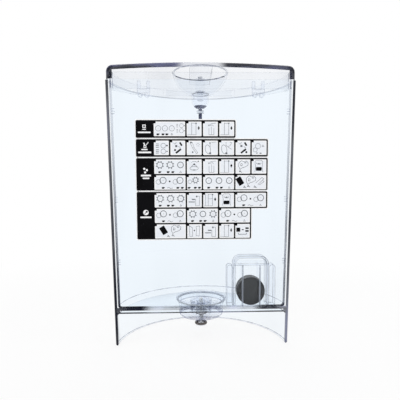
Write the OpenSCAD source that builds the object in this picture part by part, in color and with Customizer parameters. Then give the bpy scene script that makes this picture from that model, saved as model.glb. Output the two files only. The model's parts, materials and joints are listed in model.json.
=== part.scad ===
// Removable water tank with a lift-off lid, a sprung outlet valve and a level float.
// Millimetres. X runs along the flat wall, Y from the flat wall to the round wall, Z up.

/* [Tank] */
// Radius of the round wall's outer face at the foot
foot_r = 89.9; // [84:0.1:100]
// Radius of the round wall's outer face at the rim
rim_r = 95.1; // [88:0.1:110]
// Height of the rim above the foot
tank_h = 269.5; // [220:0.5:330]
// Distance from the flat wall forward to the round wall's axis
axis_out = 3.3; // [2:0.1:8]
// Thickness of the tank's walls
wall = 3; // [2:0.1:4]
// Height of the floor's upper face above the foot
floor_z = 37.8; // [34:0.1:50]
// Thickness of the floor
floor_t = 4; // [3:0.1:5]
// Height of the level marks above the floor
mark_heights = [49, 113, 201];
// Distance of the level marks from the tank's sides
mark_edge = 3.4; // [2:0.1:6]

/* [Lid] */
// Height of the lid's crown above the rim
lid_h = 17.6; // [14:0.1:26]
// Fall of the lid's top from its middle to its sides
lid_crown = 3.4; // [1:0.1:5]
// Radius of the lid's rounded top edge
lid_round = 8.5; // [4:0.1:10]
// Thickness of the lid's skin
lid_wall = 2.6; // [2:0.1:4]
// Depth of the plug below the rim at the flat wall
plug_drop = 8.2; // [6:0.1:12]
// Thickness of the plug's wall
plug_t = 2.2; // [1.6:0.1:3]
// Width of the straight rib at the back of the plug
rear_rib_w = 83; // [60:1:100]

/* [Grip] */
// Distance from the flat wall to the middle of the finger bowl
bowl_y = 34; // [32:0.1:42]
// Radius of the finger bowl's mouth
bowl_r = 30; // [26:0.1:34]
// Radius of the finger bowl's flat bottom
bowl_base_r = 13.2; // [11:0.1:16]
// Depth of the finger bowl below the crown
bowl_depth = 24.6; // [20:0.1:28]
// Thickness of the finger bowl
bowl_t = 2.2; // [1.6:0.1:3]
// Width of the grip bar
bar_w = 23; // [16:0.5:28]
// Thickness of the grip bar
bar_t = 7; // [5:0.1:9]
// Outer radius of the hanging cup below the bowl
cup_r = 9.2; // [7:0.1:11]
// Length of the hanging cup
cup_l = 16; // [12:0.5:24]
// Radius of the cup's stem
stem_r = 1.85; // [1.5:0.05:3]
// Length of the cup's stem
stem_l = 16; // [8:0.5:24]

/* [Lid clips] */
// Distance of each clip from the middle of the flat wall
clip_x = 57.5; // [45:0.5:62]
// Width of a clip
clip_w = 12.6; // [10:0.1:16]

/* [Outlet] */
// Gap between the flat wall's inner face and the outlet's collar
outlet_gap = 4.9; // [3:0.1:10]
// Width of the collar beyond the outlet well
collar_w = 3; // [2:0.1:5]
// Height of the collar above the floor
collar_h = 2.2; // [1.5:0.1:4]
// Outer radius of the outlet well
well_r = 24.6; // [22:0.1:26]
// Height of the well's underside above the foot
well_z = 20; // [18:0.1:25]
// Thickness of the well's wall
well_t = 2.2; // [1.8:0.1:3]
// Outer radius of the spout
spout_r = 5.6; // [5:0.1:6.6]
// Bore radius of the spout
bore_r = 3; // [2.6:0.1:3.4]
// Height of the spout's end above the foot
spout_z = 8.4; // [4:0.1:12]
// Depth of the groove for the spout's seal ring
groove_d = 1; // [0.6:0.1:1.4]
// Outer radius of the spout's seal ring
ring_r = 6.8; // [6.7:0.05:7.4]
// Height of the spout's seal ring
ring_h = 2.4; // [1.8:0.1:3]

/* [Valve] */
// Outer radius of the valve cage
guide_r = 12.4; // [11.5:0.1:16]
// Height of the valve cage
guide_h = 14; // [12:0.1:18]
// Thickness of the valve cage's wall
guide_t = 1.8; // [1.4:0.1:2.4]
// Number of ribs on the valve cage
guide_ribs = 10; // [6:1:12]
// Lift of the valve poppet
poppet_lift = 3.5; // [2:0.1:4]
// Radius of the poppet's head
head_r = 7.4; // [6.5:0.1:8.5]
// Radius of the poppet's stem
pin_r = 1.8; // [1.5:0.05:2.2]
// Running clearance of the poppet's stem in its guide
pin_gap = 0.08; // [0.05:0.01:0.1]
// Wire radius of the valve spring
wire_r = 0.4; // [0.3:0.05:0.5]
// Radius of the valve spring's coils
coil_r = 4.4; // [4:0.1:5.5]
// Number of turns of the valve spring
coil_turns = 5; // [4:1:7]

/* [Float] */
// Distance of the float from the middle of the flat wall
float_x = 52; // [48:0.5:54]
// Distance from the flat wall's outer face to the float's front face
float_y = 9.5; // [8:0.1:14]
// Radius of the float
float_r = 15; // [13:0.1:16]
// Thickness of the float
float_t = 12; // [10:0.1:16]
// Rise of the float in its cage
float_rise = 19; // [12:0.5:22]
// Gap between the float and its cage
float_gap = 1.2; // [0.8:0.1:2]
// Thickness of the cage's arch
arch_t = 2.4; // [1.8:0.1:3]
// Width of the rails beside the cage
rail_w = 7; // [5:0.1:8]
// Height of the rails above the floor
rail_h = 44; // [35:0.5:60]
// Distance of the cage's front bars from its middle
bar_x = 9.1; // [6:0.1:11]

/* [Label] */
// Thickness of the label film
label_t = 0.25; // [0.15:0.05:0.4]
// Width of one picture cell with its border
cell_w = 16.3; // [14:0.1:16.5]
// Height of one picture cell with its border
cell_h = 16.1; // [14:0.1:18]
// Width of the heading column
heading_w = 17.2; // [12:0.1:20]
// Gap between label blocks
block_gap = 1.3; // [0.8:0.1:2]
// Height of the label's upper edge above the foot
label_top = 229.6; // [220:0.5:235]
// Radius of a label block's corners
label_corner = 1.3; // [0.5:0.1:3]

/* [Fits] */
// Gap between the lid and the tank
lid_gap = 0.3; // [0.2:0.05:0.6]
// Gap between the plug and the tank's inner face
plug_gap = 0.45; // [0.35:0.05:0.8]
// Clearance between fixed pieces that fit into each other
fit = 0.15; // [0.1:0.05:0.25]

/* [Hidden] */
$fn = 96;

reach = 400;                                   // larger than the whole tank
depth = rim_r - axis_out;                      // flat wall's outer face to the back of the rim
front_y = -(depth - label_t) / 2;              // flat wall's outer face, with the whole box centred
floor_under = floor_z - floor_t;
collar_r = well_r + collar_w;
outlet_y = wall + outlet_gap + collar_r;       // flat wall's outer face to the outlet's axis
neck_r = well_r + 0.4;                         // the well where it passes through the floor
crown_z = tank_h + lid_h;
side_x = sqrt(rim_r * rim_r - axis_out * axis_out);
crown_r = (side_x * side_x + lid_crown * lid_crown) / (2 * lid_crown);
crown_fn = 720;                                // keeps the wide crown smooth
lid_z = tank_h + lid_gap;
plug_low = tank_h - plug_drop;
bowl_z = crown_z - bowl_depth;                 // underside of the bowl
mouth_z = crown_z - pow(bowl_y + bowl_r + axis_out, 2) / (2 * crown_r) - 0.3;
// A ball through the bowl's mouth and the rim of its flat bottom
ball_z = (bowl_r * bowl_r + mouth_z * mouth_z - bowl_base_r * bowl_base_r - bowl_z * bowl_z)
         / (2 * (mouth_z - bowl_z));
ball_r = sqrt(bowl_r * bowl_r + (mouth_z - ball_z) * (mouth_z - ball_z));
seat_z = well_z + well_t;                      // upper face of the well's bottom
cap_z = seat_z + guide_h;
cap_t = 2;
seal_t = 1.2;
head_t = 2;
head_z = seat_z + seal_t;                      // underside of the poppet's head when shut
push_in = 6;                                   // how far the machine's pin reaches into the spout
stud_r = 5.2;
shank_r = 3;
peg_r = 2.3;
bar_low = mouth_z - bar_t;
float_z = floor_z + 0.4 + float_r;
cage_in = float_r + float_gap;                 // half width inside the cage
cage_out = cage_in + arch_t;
cage_front = float_y - float_gap;
cage_d = float_t + 2 * float_gap;
arch_top = floor_z + 0.4 + 2 * float_r + float_rise + float_gap + arch_t;
arch_round = 8.5;
clip_z = plug_low;
label_left = -4 * cell_w - 0.1;

function radius_at(z) = foot_r + (rim_r - foot_r) * z / tank_h;

// Half-width of the flat wall's outer face at a height
function half_width(z) = sqrt(radius_at(z) * radius_at(z) - axis_out * axis_out);

// Everything is drawn with the flat wall's outer face at y = 0 and set in place here.
module placed() {
    translate([0, front_y, 0]) children();
}

// The space behind a plane that stands a distance behind the flat wall's outer face
module behind(inset) {
    translate([-reach, inset, -reach]) cube([2 * reach, reach, 3 * reach]);
}

// The tank's tapered D from one height to another, set in from its outer faces
module tank_d(inset, z0, z1) {
    intersection() {
        translate([0, -axis_out, z0])
            cylinder(h = z1 - z0, r1 = radius_at(z0) - inset, r2 = radius_at(z1) - inset);
        behind(inset);
    }
}

// A straight D of one radius
module straight_d(r, inset, z0, z1) {
    intersection() {
        translate([0, -axis_out, z0]) cylinder(h = z1 - z0, r = r);
        behind(inset);
    }
}

module tank_shell() {
    color([0.86, 0.92, 0.97, 0.45]) placed() difference() {
        union() {
            difference() {
                tank_d(0, floor_under, tank_h);
                tank_d(wall, floor_z, tank_h + 1);
            }
            skirt();
            for (side = [-1, 1], z = mark_heights) level_mark(side, floor_z + z);
        }
        translate([0, outlet_y, floor_under - 1]) cylinder(h = floor_t + 2, r = neck_r + fit);
    }
}

// The round wall carried down below the floor, open along the flat wall
module skirt() {
    difference() {
        tank_d(0, 0, floor_under + 0.5);
        translate([0, -axis_out, -1])
            cylinder(h = floor_under + 1, r1 = radius_at(-1) - wall, r2 = radius_at(floor_under) - wall);
    }
}

// Three short raised dashes beside the tank's edge, inside the flat wall
module level_mark(side, z) {
    for (i = [-1, 0, 1])
        translate([side * (half_width(z) - mark_edge - wall - 1.6), wall + 0.2, z + i * 2.4])
            cube([3.2, 0.8, 0.7], center = true);
}

module outlet_well() {
    groove_z = spout_z + 1.4;
    groove_h = ring_h + 0.2;
    collar_z = floor_z + seal_t;
    shoulder_z = floor_under - 0.3;
    color([0.84, 0.9, 0.95, 0.5]) placed() translate([0, outlet_y, 0]) difference() {
        union() {
            translate([0, 0, well_z]) cylinder(h = shoulder_z + 0.5 - well_z, r = well_r);
            translate([0, 0, shoulder_z]) cylinder(h = 0.4, r1 = well_r, r2 = neck_r);
            translate([0, 0, shoulder_z + 0.4]) cylinder(h = collar_z - shoulder_z, r = neck_r);
            translate([0, 0, collar_z]) cylinder(h = collar_h, r = collar_r);
            translate([0, 0, spout_z]) cylinder(h = well_z - spout_z + 1, r = spout_r);
        }
        translate([0, 0, seat_z]) cylinder(h = 30, r = well_r - well_t);
        translate([0, 0, spout_z - 1]) cylinder(h = seat_z - spout_z + 2, r = bore_r);
        translate([0, 0, groove_z]) difference() {
            cylinder(h = groove_h, r = spout_r + 1);
            translate([0, 0, -1]) cylinder(h = groove_h + 2, r = spout_r - groove_d);
        }
    }
}

// Flat ring between the collar and the tank's floor
module well_seal() {
    color([0.75, 0.78, 0.8]) placed() translate([0, outlet_y, floor_z]) difference() {
        cylinder(h = seal_t, r = collar_r - 0.4);
        translate([0, 0, -1]) cylinder(h = 3, r = neck_r + 0.1);
    }
}

// Seal ring in the spout's groove, with its outer corners cut off
module spout_seal() {
    cut = 0.3;
    in_r = spout_r - groove_d + 0.02;
    color([0.23, 0.19, 0.17]) placed() translate([0, outlet_y, spout_z + 1.5])
        rotate_extrude() polygon([[in_r, 0], [ring_r - cut, 0], [ring_r, cut],
                                  [ring_r, ring_h - cut], [ring_r - cut, ring_h], [in_r, ring_h]]);
}

// Ribbed cage that stands on the well's bottom and lets water in between its ribs
module valve_cage() {
    window_h = guide_h - 5;
    color([0.82, 0.88, 0.93, 0.6]) placed() translate([0, outlet_y, seat_z]) {
        difference() {
            union() {
                cylinder(h = guide_h, r = guide_r - 0.8);
                for (i = [0 : guide_ribs - 1])
                    rotate([0, 0, i * 360 / guide_ribs])
                        translate([guide_r - 2, -0.8, 0]) cube([2, 1.6, guide_h]);
            }
            translate([0, 0, -1]) cylinder(h = guide_h + 2, r = guide_r - 0.8 - guide_t);
            for (i = [0 : guide_ribs - 1])
                rotate([0, 0, (i + 0.5) * 360 / guide_ribs])
                    translate([guide_r / 2, -1.5, 2.5]) cube([guide_r, 3, window_h]);
        }
    }
}

// Cap of the cage, with the bore that guides the poppet's stem
module valve_cap() {
    bore = pin_r + pin_gap;
    color([0.8, 0.87, 0.92, 0.6]) placed() translate([0, outlet_y, cap_z]) difference() {
        union() {
            cylinder(h = cap_t, r = guide_r);
            translate([0, 0, -2.4]) cylinder(h = 3, r = guide_r - 0.8 - guide_t - fit);
        }
        translate([0, 0, -3]) cylinder(h = 2.6, r = coil_r + wire_r + 0.5);
        translate([0, 0, -3]) cylinder(h = cap_t + 4, r = bore);
        for (i = [0 : 5])
            rotate([0, 0, i * 60]) translate([guide_r - 5, 0, -3]) cylinder(h = cap_t + 4, r = 1.2);
    }
}

module valve_poppet() {
    nose_l = head_z - spout_z - (push_in - poppet_lift);
    stem_top = cap_z + cap_t + 1;
    color([0.92, 0.92, 0.9]) placed() translate([0, outlet_y, 0]) {
        translate([0, 0, head_z]) cylinder(h = head_t, r = head_r);
        translate([0, 0, head_z]) cylinder(h = stem_top - head_z, r = pin_r);
        translate([0, 0, head_z - nose_l]) cylinder(h = nose_l + 0.5, r = 1.4);
        for (i = [0 : 2])
            rotate([0, 0, i * 120]) translate([0, -0.4, head_z - nose_l + 3])
                cube([bore_r - 0.35, 0.8, nose_l - 3]);
    }
}

module poppet_seal() {
    color([0.2, 0.18, 0.17]) placed() translate([0, outlet_y, seat_z + 0.1]) difference() {
        cylinder(h = seal_t - 0.1, r = head_r - 0.6);
        translate([0, 0, -1]) cylinder(h = 3, r = bore_r + 0.4);
    }
}

// Open coil round the poppet's stem
module valve_spring() {
    low = head_z + head_t + wire_r;
    top = cap_z - 0.4 - wire_r;
    sides = 8;
    steps = 16 * coil_turns;
    rings = [for (i = [0 : steps])
        let (a = 360 * coil_turns * i / steps, z = low + (top - low) * i / steps)
        [for (k = [0 : sides - 1])
            let (b = 360 * k / sides, r = coil_r + wire_r * cos(b))
            [r * cos(a), r * sin(a), z + wire_r * sin(b)]]];
    points = [for (ring = rings, p = ring) p];
    walls = [for (i = [0 : steps - 1], k = [0 : sides - 1])
        let (n = (k + 1) % sides)
        [i * sides + k, (i + 1) * sides + k, (i + 1) * sides + n, i * sides + n]];
    first = [for (k = [0 : sides - 1]) k];
    last = [for (k = [0 : sides - 1]) steps * sides + sides - 1 - k];
    color([0.7, 0.71, 0.73]) placed() translate([0, outlet_y, 0])
        polyhedron(points, concat(walls, [first, last]));
}

// Outline of the cage's arch seen from the front, from the floor to its rounded top
module arch_outline(half, top) {
    r = arch_round - (cage_out - half);
    union() {
        translate([-half, floor_z]) square([2 * half, top - r - floor_z]);
        translate([-half + r, top - r - 1]) square([2 * (half - r), r + 1]);
        for (side = [-1, 1]) translate([side * (half - r), top - r]) circle(r = r);
    }
}

module float_cage() {
    bar_top = floor_z + 44;
    color([0.85, 0.91, 0.96, 0.5]) placed() translate([float_x, 0, 0]) {
        difference() {
            translate([0, cage_front + cage_d, 0]) rotate([90, 0, 0]) linear_extrude(cage_d)
                arch_outline(cage_out, arch_top);
            translate([0, cage_front + cage_d + 1, 0]) rotate([90, 0, 0]) linear_extrude(cage_d + 2)
                translate([0, -1]) arch_outline(cage_in, arch_top - arch_t + 1);
        }
        for (side = [-1, 1]) {
            translate([side * bar_x - 0.8, cage_front - 1.8, floor_z]) cube([1.6, 1.8, bar_top - floor_z]);
            translate([side * bar_x - 0.8, cage_front + cage_d, floor_z])
                cube([1.6, 1.8, bar_top - floor_z]);
        }
        for (y = [cage_front - 1.8, cage_front + cage_d])
            translate([-cage_out, y, bar_top - 0.5]) cube([2 * cage_out, 1.8, 2]);
    }
}

// Rail moulded for the cage to slide down beside, with a rounded top
module float_rail(side) {
    color([0.84, 0.9, 0.95, 0.5]) placed() translate([float_x + side * (cage_out + fit + rail_w / 2), 0, 0])
        translate([0, cage_front + 11, 0]) rotate([90, 0, 0]) linear_extrude(11) union() {
            translate([-rail_w / 2, floor_z]) square([rail_w, rail_h - rail_w / 2]);
            translate([0, floor_z + rail_h - rail_w / 2]) circle(r = rail_w / 2);
        }
}

module float_rail_left() {
    float_rail(-1);
}

module float_rail_right() {
    float_rail(1);
}

// One half of the hollow float; the halves meet at its middle
module float_half(y0, y1, open_at_high) {
    skin = 1.4;
    cut0 = open_at_high ? y0 + skin : y0 - 1;
    cut1 = open_at_high ? y1 + 1 : y1 - skin;
    translate([float_x, 0, float_z]) difference() {
        translate([0, y1, 0]) rotate([90, 0, 0]) cylinder(h = y1 - y0, r = float_r);
        translate([0, cut1, 0]) rotate([90, 0, 0]) cylinder(h = cut1 - cut0, r = float_r - skin);
    }
}

module float_front() {
    color([0.22, 0.22, 0.23]) placed() float_half(float_y, float_y + float_t / 2, true);
}

module float_back() {
    color([0.2, 0.2, 0.21]) placed() float_half(float_y + float_t / 2, float_y + float_t, false);
}

module float_magnet() {
    color([0.5, 0.5, 0.52]) placed() translate([float_x, float_y + float_t - 1.4, float_z])
        rotate([90, 0, 0]) cylinder(h = 4, r = 5);
}

// Half section of the lid: straight side, rounded edge and crowned top, set in by a wall
module lid_section(inset, low) {
    side = rim_r - inset;
    r = lid_round - inset;
    ball = crown_r - inset;
    round_z = crown_z - crown_r + sqrt(pow(ball - r, 2) - pow(side - r, 2));
    union() {
        translate([0, low]) square([side, round_z - low]);
        translate([side - r, round_z]) intersection() {
            circle(r = r);
            square(r);
        }
        intersection() {
            translate([0, crown_z - crown_r]) circle(r = ball, $fn = crown_fn);
            translate([0, low]) square([(side - r) * ball / (ball - r), lid_h + 10]);
        }
    }
}

// The lid's outer form, or its inside when set in by a wall
module lid_form(inset, low) {
    intersection() {
        translate([0, -axis_out, 0]) rotate_extrude() lid_section(inset, low);
        behind(inset);
    }
}

module lid_cover() {
    land_r = bowl_r + 3.2;
    color([0.8, 0.86, 0.95, 0.5]) placed() difference() {
        union() {
            difference() {
                lid_form(0, lid_z);
                lid_form(lid_wall, lid_z - 1);
            }
            intersection() {
                translate([0, bowl_y, mouth_z - 5]) cylinder(h = lid_h, r = land_r);
                lid_form(1, lid_z);
            }
        }
        translate([0, bowl_y, tank_h - 1]) cylinder(h = 2 * lid_h, r = bowl_r + fit);
    }
}

// Ring under the lid that fits inside the tank's mouth, its lower edge rising to the back
module lid_plug() {
    plug_r = radius_at(plug_low) - wall - plug_gap;
    front = wall + plug_gap;
    top = lid_z + 7.5;
    back_y = depth - wall;
    rib_y = sqrt(pow(plug_r - plug_t, 2) - pow(rear_rib_w / 2, 2)) - axis_out;
    color([0.84, 0.9, 0.96, 0.5]) placed() difference() {
        union() {
            difference() {
                straight_d(rim_r - lid_wall - fit, lid_wall + fit, lid_z + 1, lid_z + 3);
                straight_d(plug_r - 0.5, front + 0.5, lid_z, top);
            }
            difference() {
                straight_d(plug_r, front, plug_low, top);
                straight_d(plug_r - plug_t, front + plug_t, plug_low - 1, top + 1);
            }
            translate([-rear_rib_w / 2 - 0.5, rib_y - 0.5, lid_z]) cube([rear_rib_w + 1, 2, top - lid_z]);
        }
        translate([-reach, 0, 0]) rotate([90, 0, 90]) linear_extrude(2 * reach)
            polygon([[front, plug_low], [back_y, tank_h], [depth + 20, tank_h], [depth + 20, 0], [front, 0]]);
    }
}

module grip_bowl() {
    color([0.82, 0.88, 0.95, 0.5]) placed() translate([0, bowl_y, 0]) difference() {
        intersection() {
            translate([0, 0, ball_z]) sphere(r = ball_r);
            translate([0, 0, bowl_z]) cylinder(h = mouth_z - bowl_z, r = bowl_r);
        }
        intersection() {
            translate([0, 0, ball_z]) sphere(r = ball_r - bowl_t);
            translate([0, 0, bowl_z + bowl_t]) cylinder(h = 60, r = bowl_r + 5);
        }
        translate([0, 0, bowl_z - 1]) cylinder(h = bowl_t + 2, r = shank_r + fit);
    }
}

// Bar across the bowl from front to back, its ends following the bowl
module grip_bar() {
    color([0.8, 0.86, 0.94, 0.55]) placed() translate([0, bowl_y, 0]) difference() {
        intersection() {
            translate([-bar_w / 2, -bowl_r, bar_low]) cube([bar_w, 2 * bowl_r, bar_t]);
            translate([0, 0, ball_z]) sphere(r = ball_r - bowl_t - fit);
            translate([0, bowl_r, bar_low + bar_t - 60]) rotate([90, 0, 0])
                cylinder(h = 2 * bowl_r, r = 60, $fn = 180);
        }
        translate([0, 0, bar_low - 1]) cylinder(h = 3.5, r = peg_r + fit);
    }
}

// Pillar between the bar and the bowl's bottom, with a shank that goes on into the cup
module grip_stud() {
    stud_z = bowl_z + bowl_t;
    color([0.75, 0.82, 0.92, 0.6]) placed() translate([0, bowl_y, 0]) {
        translate([0, 0, stud_z]) cylinder(h = bar_low - stud_z, r = stud_r);
        translate([0, 0, bowl_z - 7]) cylinder(h = stud_z - bowl_z + 7.5, r = shank_r);
        translate([0, 0, bar_low - 0.5]) cylinder(h = 2.6, r = peg_r);
    }
}

// Cup with a round bottom under the bowl, and the thin stem that hangs from it
module hanging_cup() {
    bottom = bowl_z - cup_l;
    color([0.84, 0.9, 0.96, 0.5]) placed() translate([0, bowl_y, 0]) difference() {
        union() {
            translate([0, 0, bottom + cup_r]) cylinder(h = cup_l - cup_r, r = cup_r);
            translate([0, 0, bottom + cup_r]) sphere(r = cup_r);
            translate([0, 0, bottom - stem_l]) cylinder(h = stem_l + 1.5, r = stem_r);
            translate([0, 0, bottom - 4.2]) cylinder(h = 2.6, r = stem_r + 2);
        }
        translate([0, 0, bottom + cup_r]) cylinder(h = cup_l, r = cup_r - 1.6);
        translate([0, 0, bottom + cup_r]) sphere(r = cup_r - 1.6);
    }
}

// Sprung clip that grips the plug's lower edge and bears on the flat wall
module lid_clip(side) {
    in_y = wall + plug_gap + plug_t;           // the plug's inner face
    leg_r = 2.6;
    color([0.85, 0.91, 0.97, 0.6]) placed() translate([side * clip_x, 0, 0]) {
        for (s = [-1, 1])
            translate([s * (clip_w / 2 - 1.6) - 1.6, in_y + 0.1, clip_z - 0.2]) cube([3.2, 1.5, 8]);
        translate([-clip_w / 2, wall + 0.6, clip_z - 4]) cube([clip_w, in_y + 1.6 - wall - 0.6, 3.8]);
        for (s = [-1, 1])
            translate([s * 3.4, in_y + 1.6, clip_z - 6]) rotate([90, 0, 0]) difference() {
                cylinder(h = 3.2, r = leg_r);
                translate([0, 0, -1]) cylinder(h = 6, r = leg_r - 1.1);
            }
    }
}

module lid_clip_left() {
    lid_clip(-1);
}

module lid_clip_right() {
    lid_clip(1);
}

// Film with rounded corners on the flat wall's outer face, drawn from its upper left corner
module film(x, top, w, h) {
    r = label_corner;
    color([0.07, 0.07, 0.08]) placed() translate([0, 0, 0]) rotate([90, 0, 0]) linear_extrude(label_t)
        union() {
            translate([x, top - h + r]) square([w, h - 2 * r]);
            translate([x + r, top - h]) square([w - 2 * r, h]);
            for (cx = [x + r, x + w - r], cz = [top - r, top - h + r]) translate([cx, cz]) circle(r = r);
        }
}

function block_w(cells) = heading_w + cells * cell_w;

module label_rinse() {
    film(label_left, label_top, block_w(5), cell_h + 1.4);
}

module label_steam() {
    film(label_left, label_top - cell_h - 1.4 - block_gap, block_w(7), cell_h + 1.4);
}

module label_clean() {
    film(label_left, label_top - 2 * (cell_h + 1.4 + block_gap), block_w(7), 2 * cell_h + 0.9);
}

module label_descale() {
    top = label_top - 2 * (cell_h + 1.4) - 3 * block_gap - 2 * cell_h - 0.9;
    union() {
        film(label_left, top, block_w(7), cell_h + 1.2);
        film(label_left, top, block_w(6), 3 * cell_h + 0.5);
    }
}

tank_shell();
outlet_well();
well_seal();
spout_seal();
valve_cage();
valve_cap();
valve_poppet();
poppet_seal();
valve_spring();
float_cage();
float_rail_left();
float_rail_right();
float_front();
float_back();
float_magnet();
lid_cover();
lid_plug();
grip_bowl();
grip_bar();
grip_stud();
hanging_cup();
lid_clip_left();
lid_clip_right();
label_rinse();
label_steam();
label_clean();
label_descale();
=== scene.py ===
"""Looks for a removable water tank of clear moulded plastic with a lift-off lid.

Sizes are in millimetres in the wall frame: x along the flat wall, d from the flat wall's outer face
towards the round wall, z up. spot() turns them into metres in the row frame.
"""
import json
import logging
import math
from dataclasses import dataclass
from enum import Enum
from typing import Any, Callable, Sequence

import bmesh
import bpy
from mathutils import Matrix, Vector

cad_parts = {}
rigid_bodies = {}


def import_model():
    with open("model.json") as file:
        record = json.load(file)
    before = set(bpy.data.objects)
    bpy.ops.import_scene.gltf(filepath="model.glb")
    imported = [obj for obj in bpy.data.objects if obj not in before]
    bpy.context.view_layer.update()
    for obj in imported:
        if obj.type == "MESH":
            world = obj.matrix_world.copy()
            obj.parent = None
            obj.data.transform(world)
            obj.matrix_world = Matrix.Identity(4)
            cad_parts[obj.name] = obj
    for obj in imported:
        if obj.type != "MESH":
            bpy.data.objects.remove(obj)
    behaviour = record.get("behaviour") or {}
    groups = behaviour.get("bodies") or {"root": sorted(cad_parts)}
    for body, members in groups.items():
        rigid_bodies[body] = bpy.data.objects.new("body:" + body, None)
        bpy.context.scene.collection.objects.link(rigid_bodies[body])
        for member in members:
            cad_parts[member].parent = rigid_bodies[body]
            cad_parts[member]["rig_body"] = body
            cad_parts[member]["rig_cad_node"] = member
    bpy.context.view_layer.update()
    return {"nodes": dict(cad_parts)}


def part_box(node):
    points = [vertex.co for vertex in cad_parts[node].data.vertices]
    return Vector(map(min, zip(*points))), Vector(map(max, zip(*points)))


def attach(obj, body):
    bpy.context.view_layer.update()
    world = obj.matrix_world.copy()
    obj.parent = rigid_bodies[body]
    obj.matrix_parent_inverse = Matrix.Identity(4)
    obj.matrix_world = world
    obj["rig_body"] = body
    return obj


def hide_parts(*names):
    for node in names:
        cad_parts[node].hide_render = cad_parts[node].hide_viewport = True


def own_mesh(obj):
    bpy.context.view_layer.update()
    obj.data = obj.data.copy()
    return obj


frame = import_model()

log = logging.getLogger("tank")
Colour = tuple[float, float, float]
Point = tuple[float, float, float]
Socket = bpy.types.NodeSocket
MM = 0.001
TOUCH = 1e-6
MERGE = 0.000002
FRONT_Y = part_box("tank_shell")[0].y
BEHIND = FRONT_Y + 0.012
UP = (0.0, 0.0, 1.0)
SIDEWAYS = (1.0, 0.0, 0.0)
BACKWARDS = (0.0, 1.0, 0.0)
LYING = (math.pi / 2, 0.0, 0.0)


def spot(x: float, d: float, z: float) -> Vector:
    """A point of the wall frame, in metres in the row frame."""
    return Vector((x * MM, FRONT_Y + d * MM, z * MM))


# ---------------------------------------------------------------- shader maths


class Value:
    """A shader socket that carries a number, with the operators that the finishes use."""

    def __init__(self, graph: "Graph", socket: Socket) -> None:
        """Wraps a socket of a graph."""
        self.graph = graph
        self.socket = socket

    def _with(self, operation: str, first: Any, second: Any) -> "Value":
        """The result of one Math node on two numbers or Values."""
        return self.graph.value("ShaderNodeMath", {"operation": operation}, {0: first, 1: second})

    def __add__(self, other: Any) -> "Value":
        """Sum."""
        return self._with("ADD", self, other)

    def __sub__(self, other: Any) -> "Value":
        """Difference."""
        return self._with("SUBTRACT", self, other)

    def __rsub__(self, other: Any) -> "Value":
        """Difference from a number."""
        return self._with("SUBTRACT", other, self)

    def __mul__(self, other: Any) -> "Value":
        """Product."""
        return self._with("MULTIPLY", self, other)

    def __or__(self, other: Any) -> "Value":
        """The larger of two values."""
        return self._with("MAXIMUM", self, other)

    def __abs__(self) -> "Value":
        """Size without sign."""
        return self._with("ABSOLUTE", self, 0.0)

    __radd__ = __add__
    __rmul__ = __mul__

    def rise(self, low: float, high: float, to_low: float = 0.0, to_high: float = 1.0) -> "Value":
        """The value mapped smoothly from low..high to to_low..to_high, and held outside."""
        values = {0: self, 1: low, 2: high, 3: to_low, 4: to_high}
        return self.graph.value("ShaderNodeMapRange", {"interpolation_type": "SMOOTHSTEP"}, values)


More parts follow.
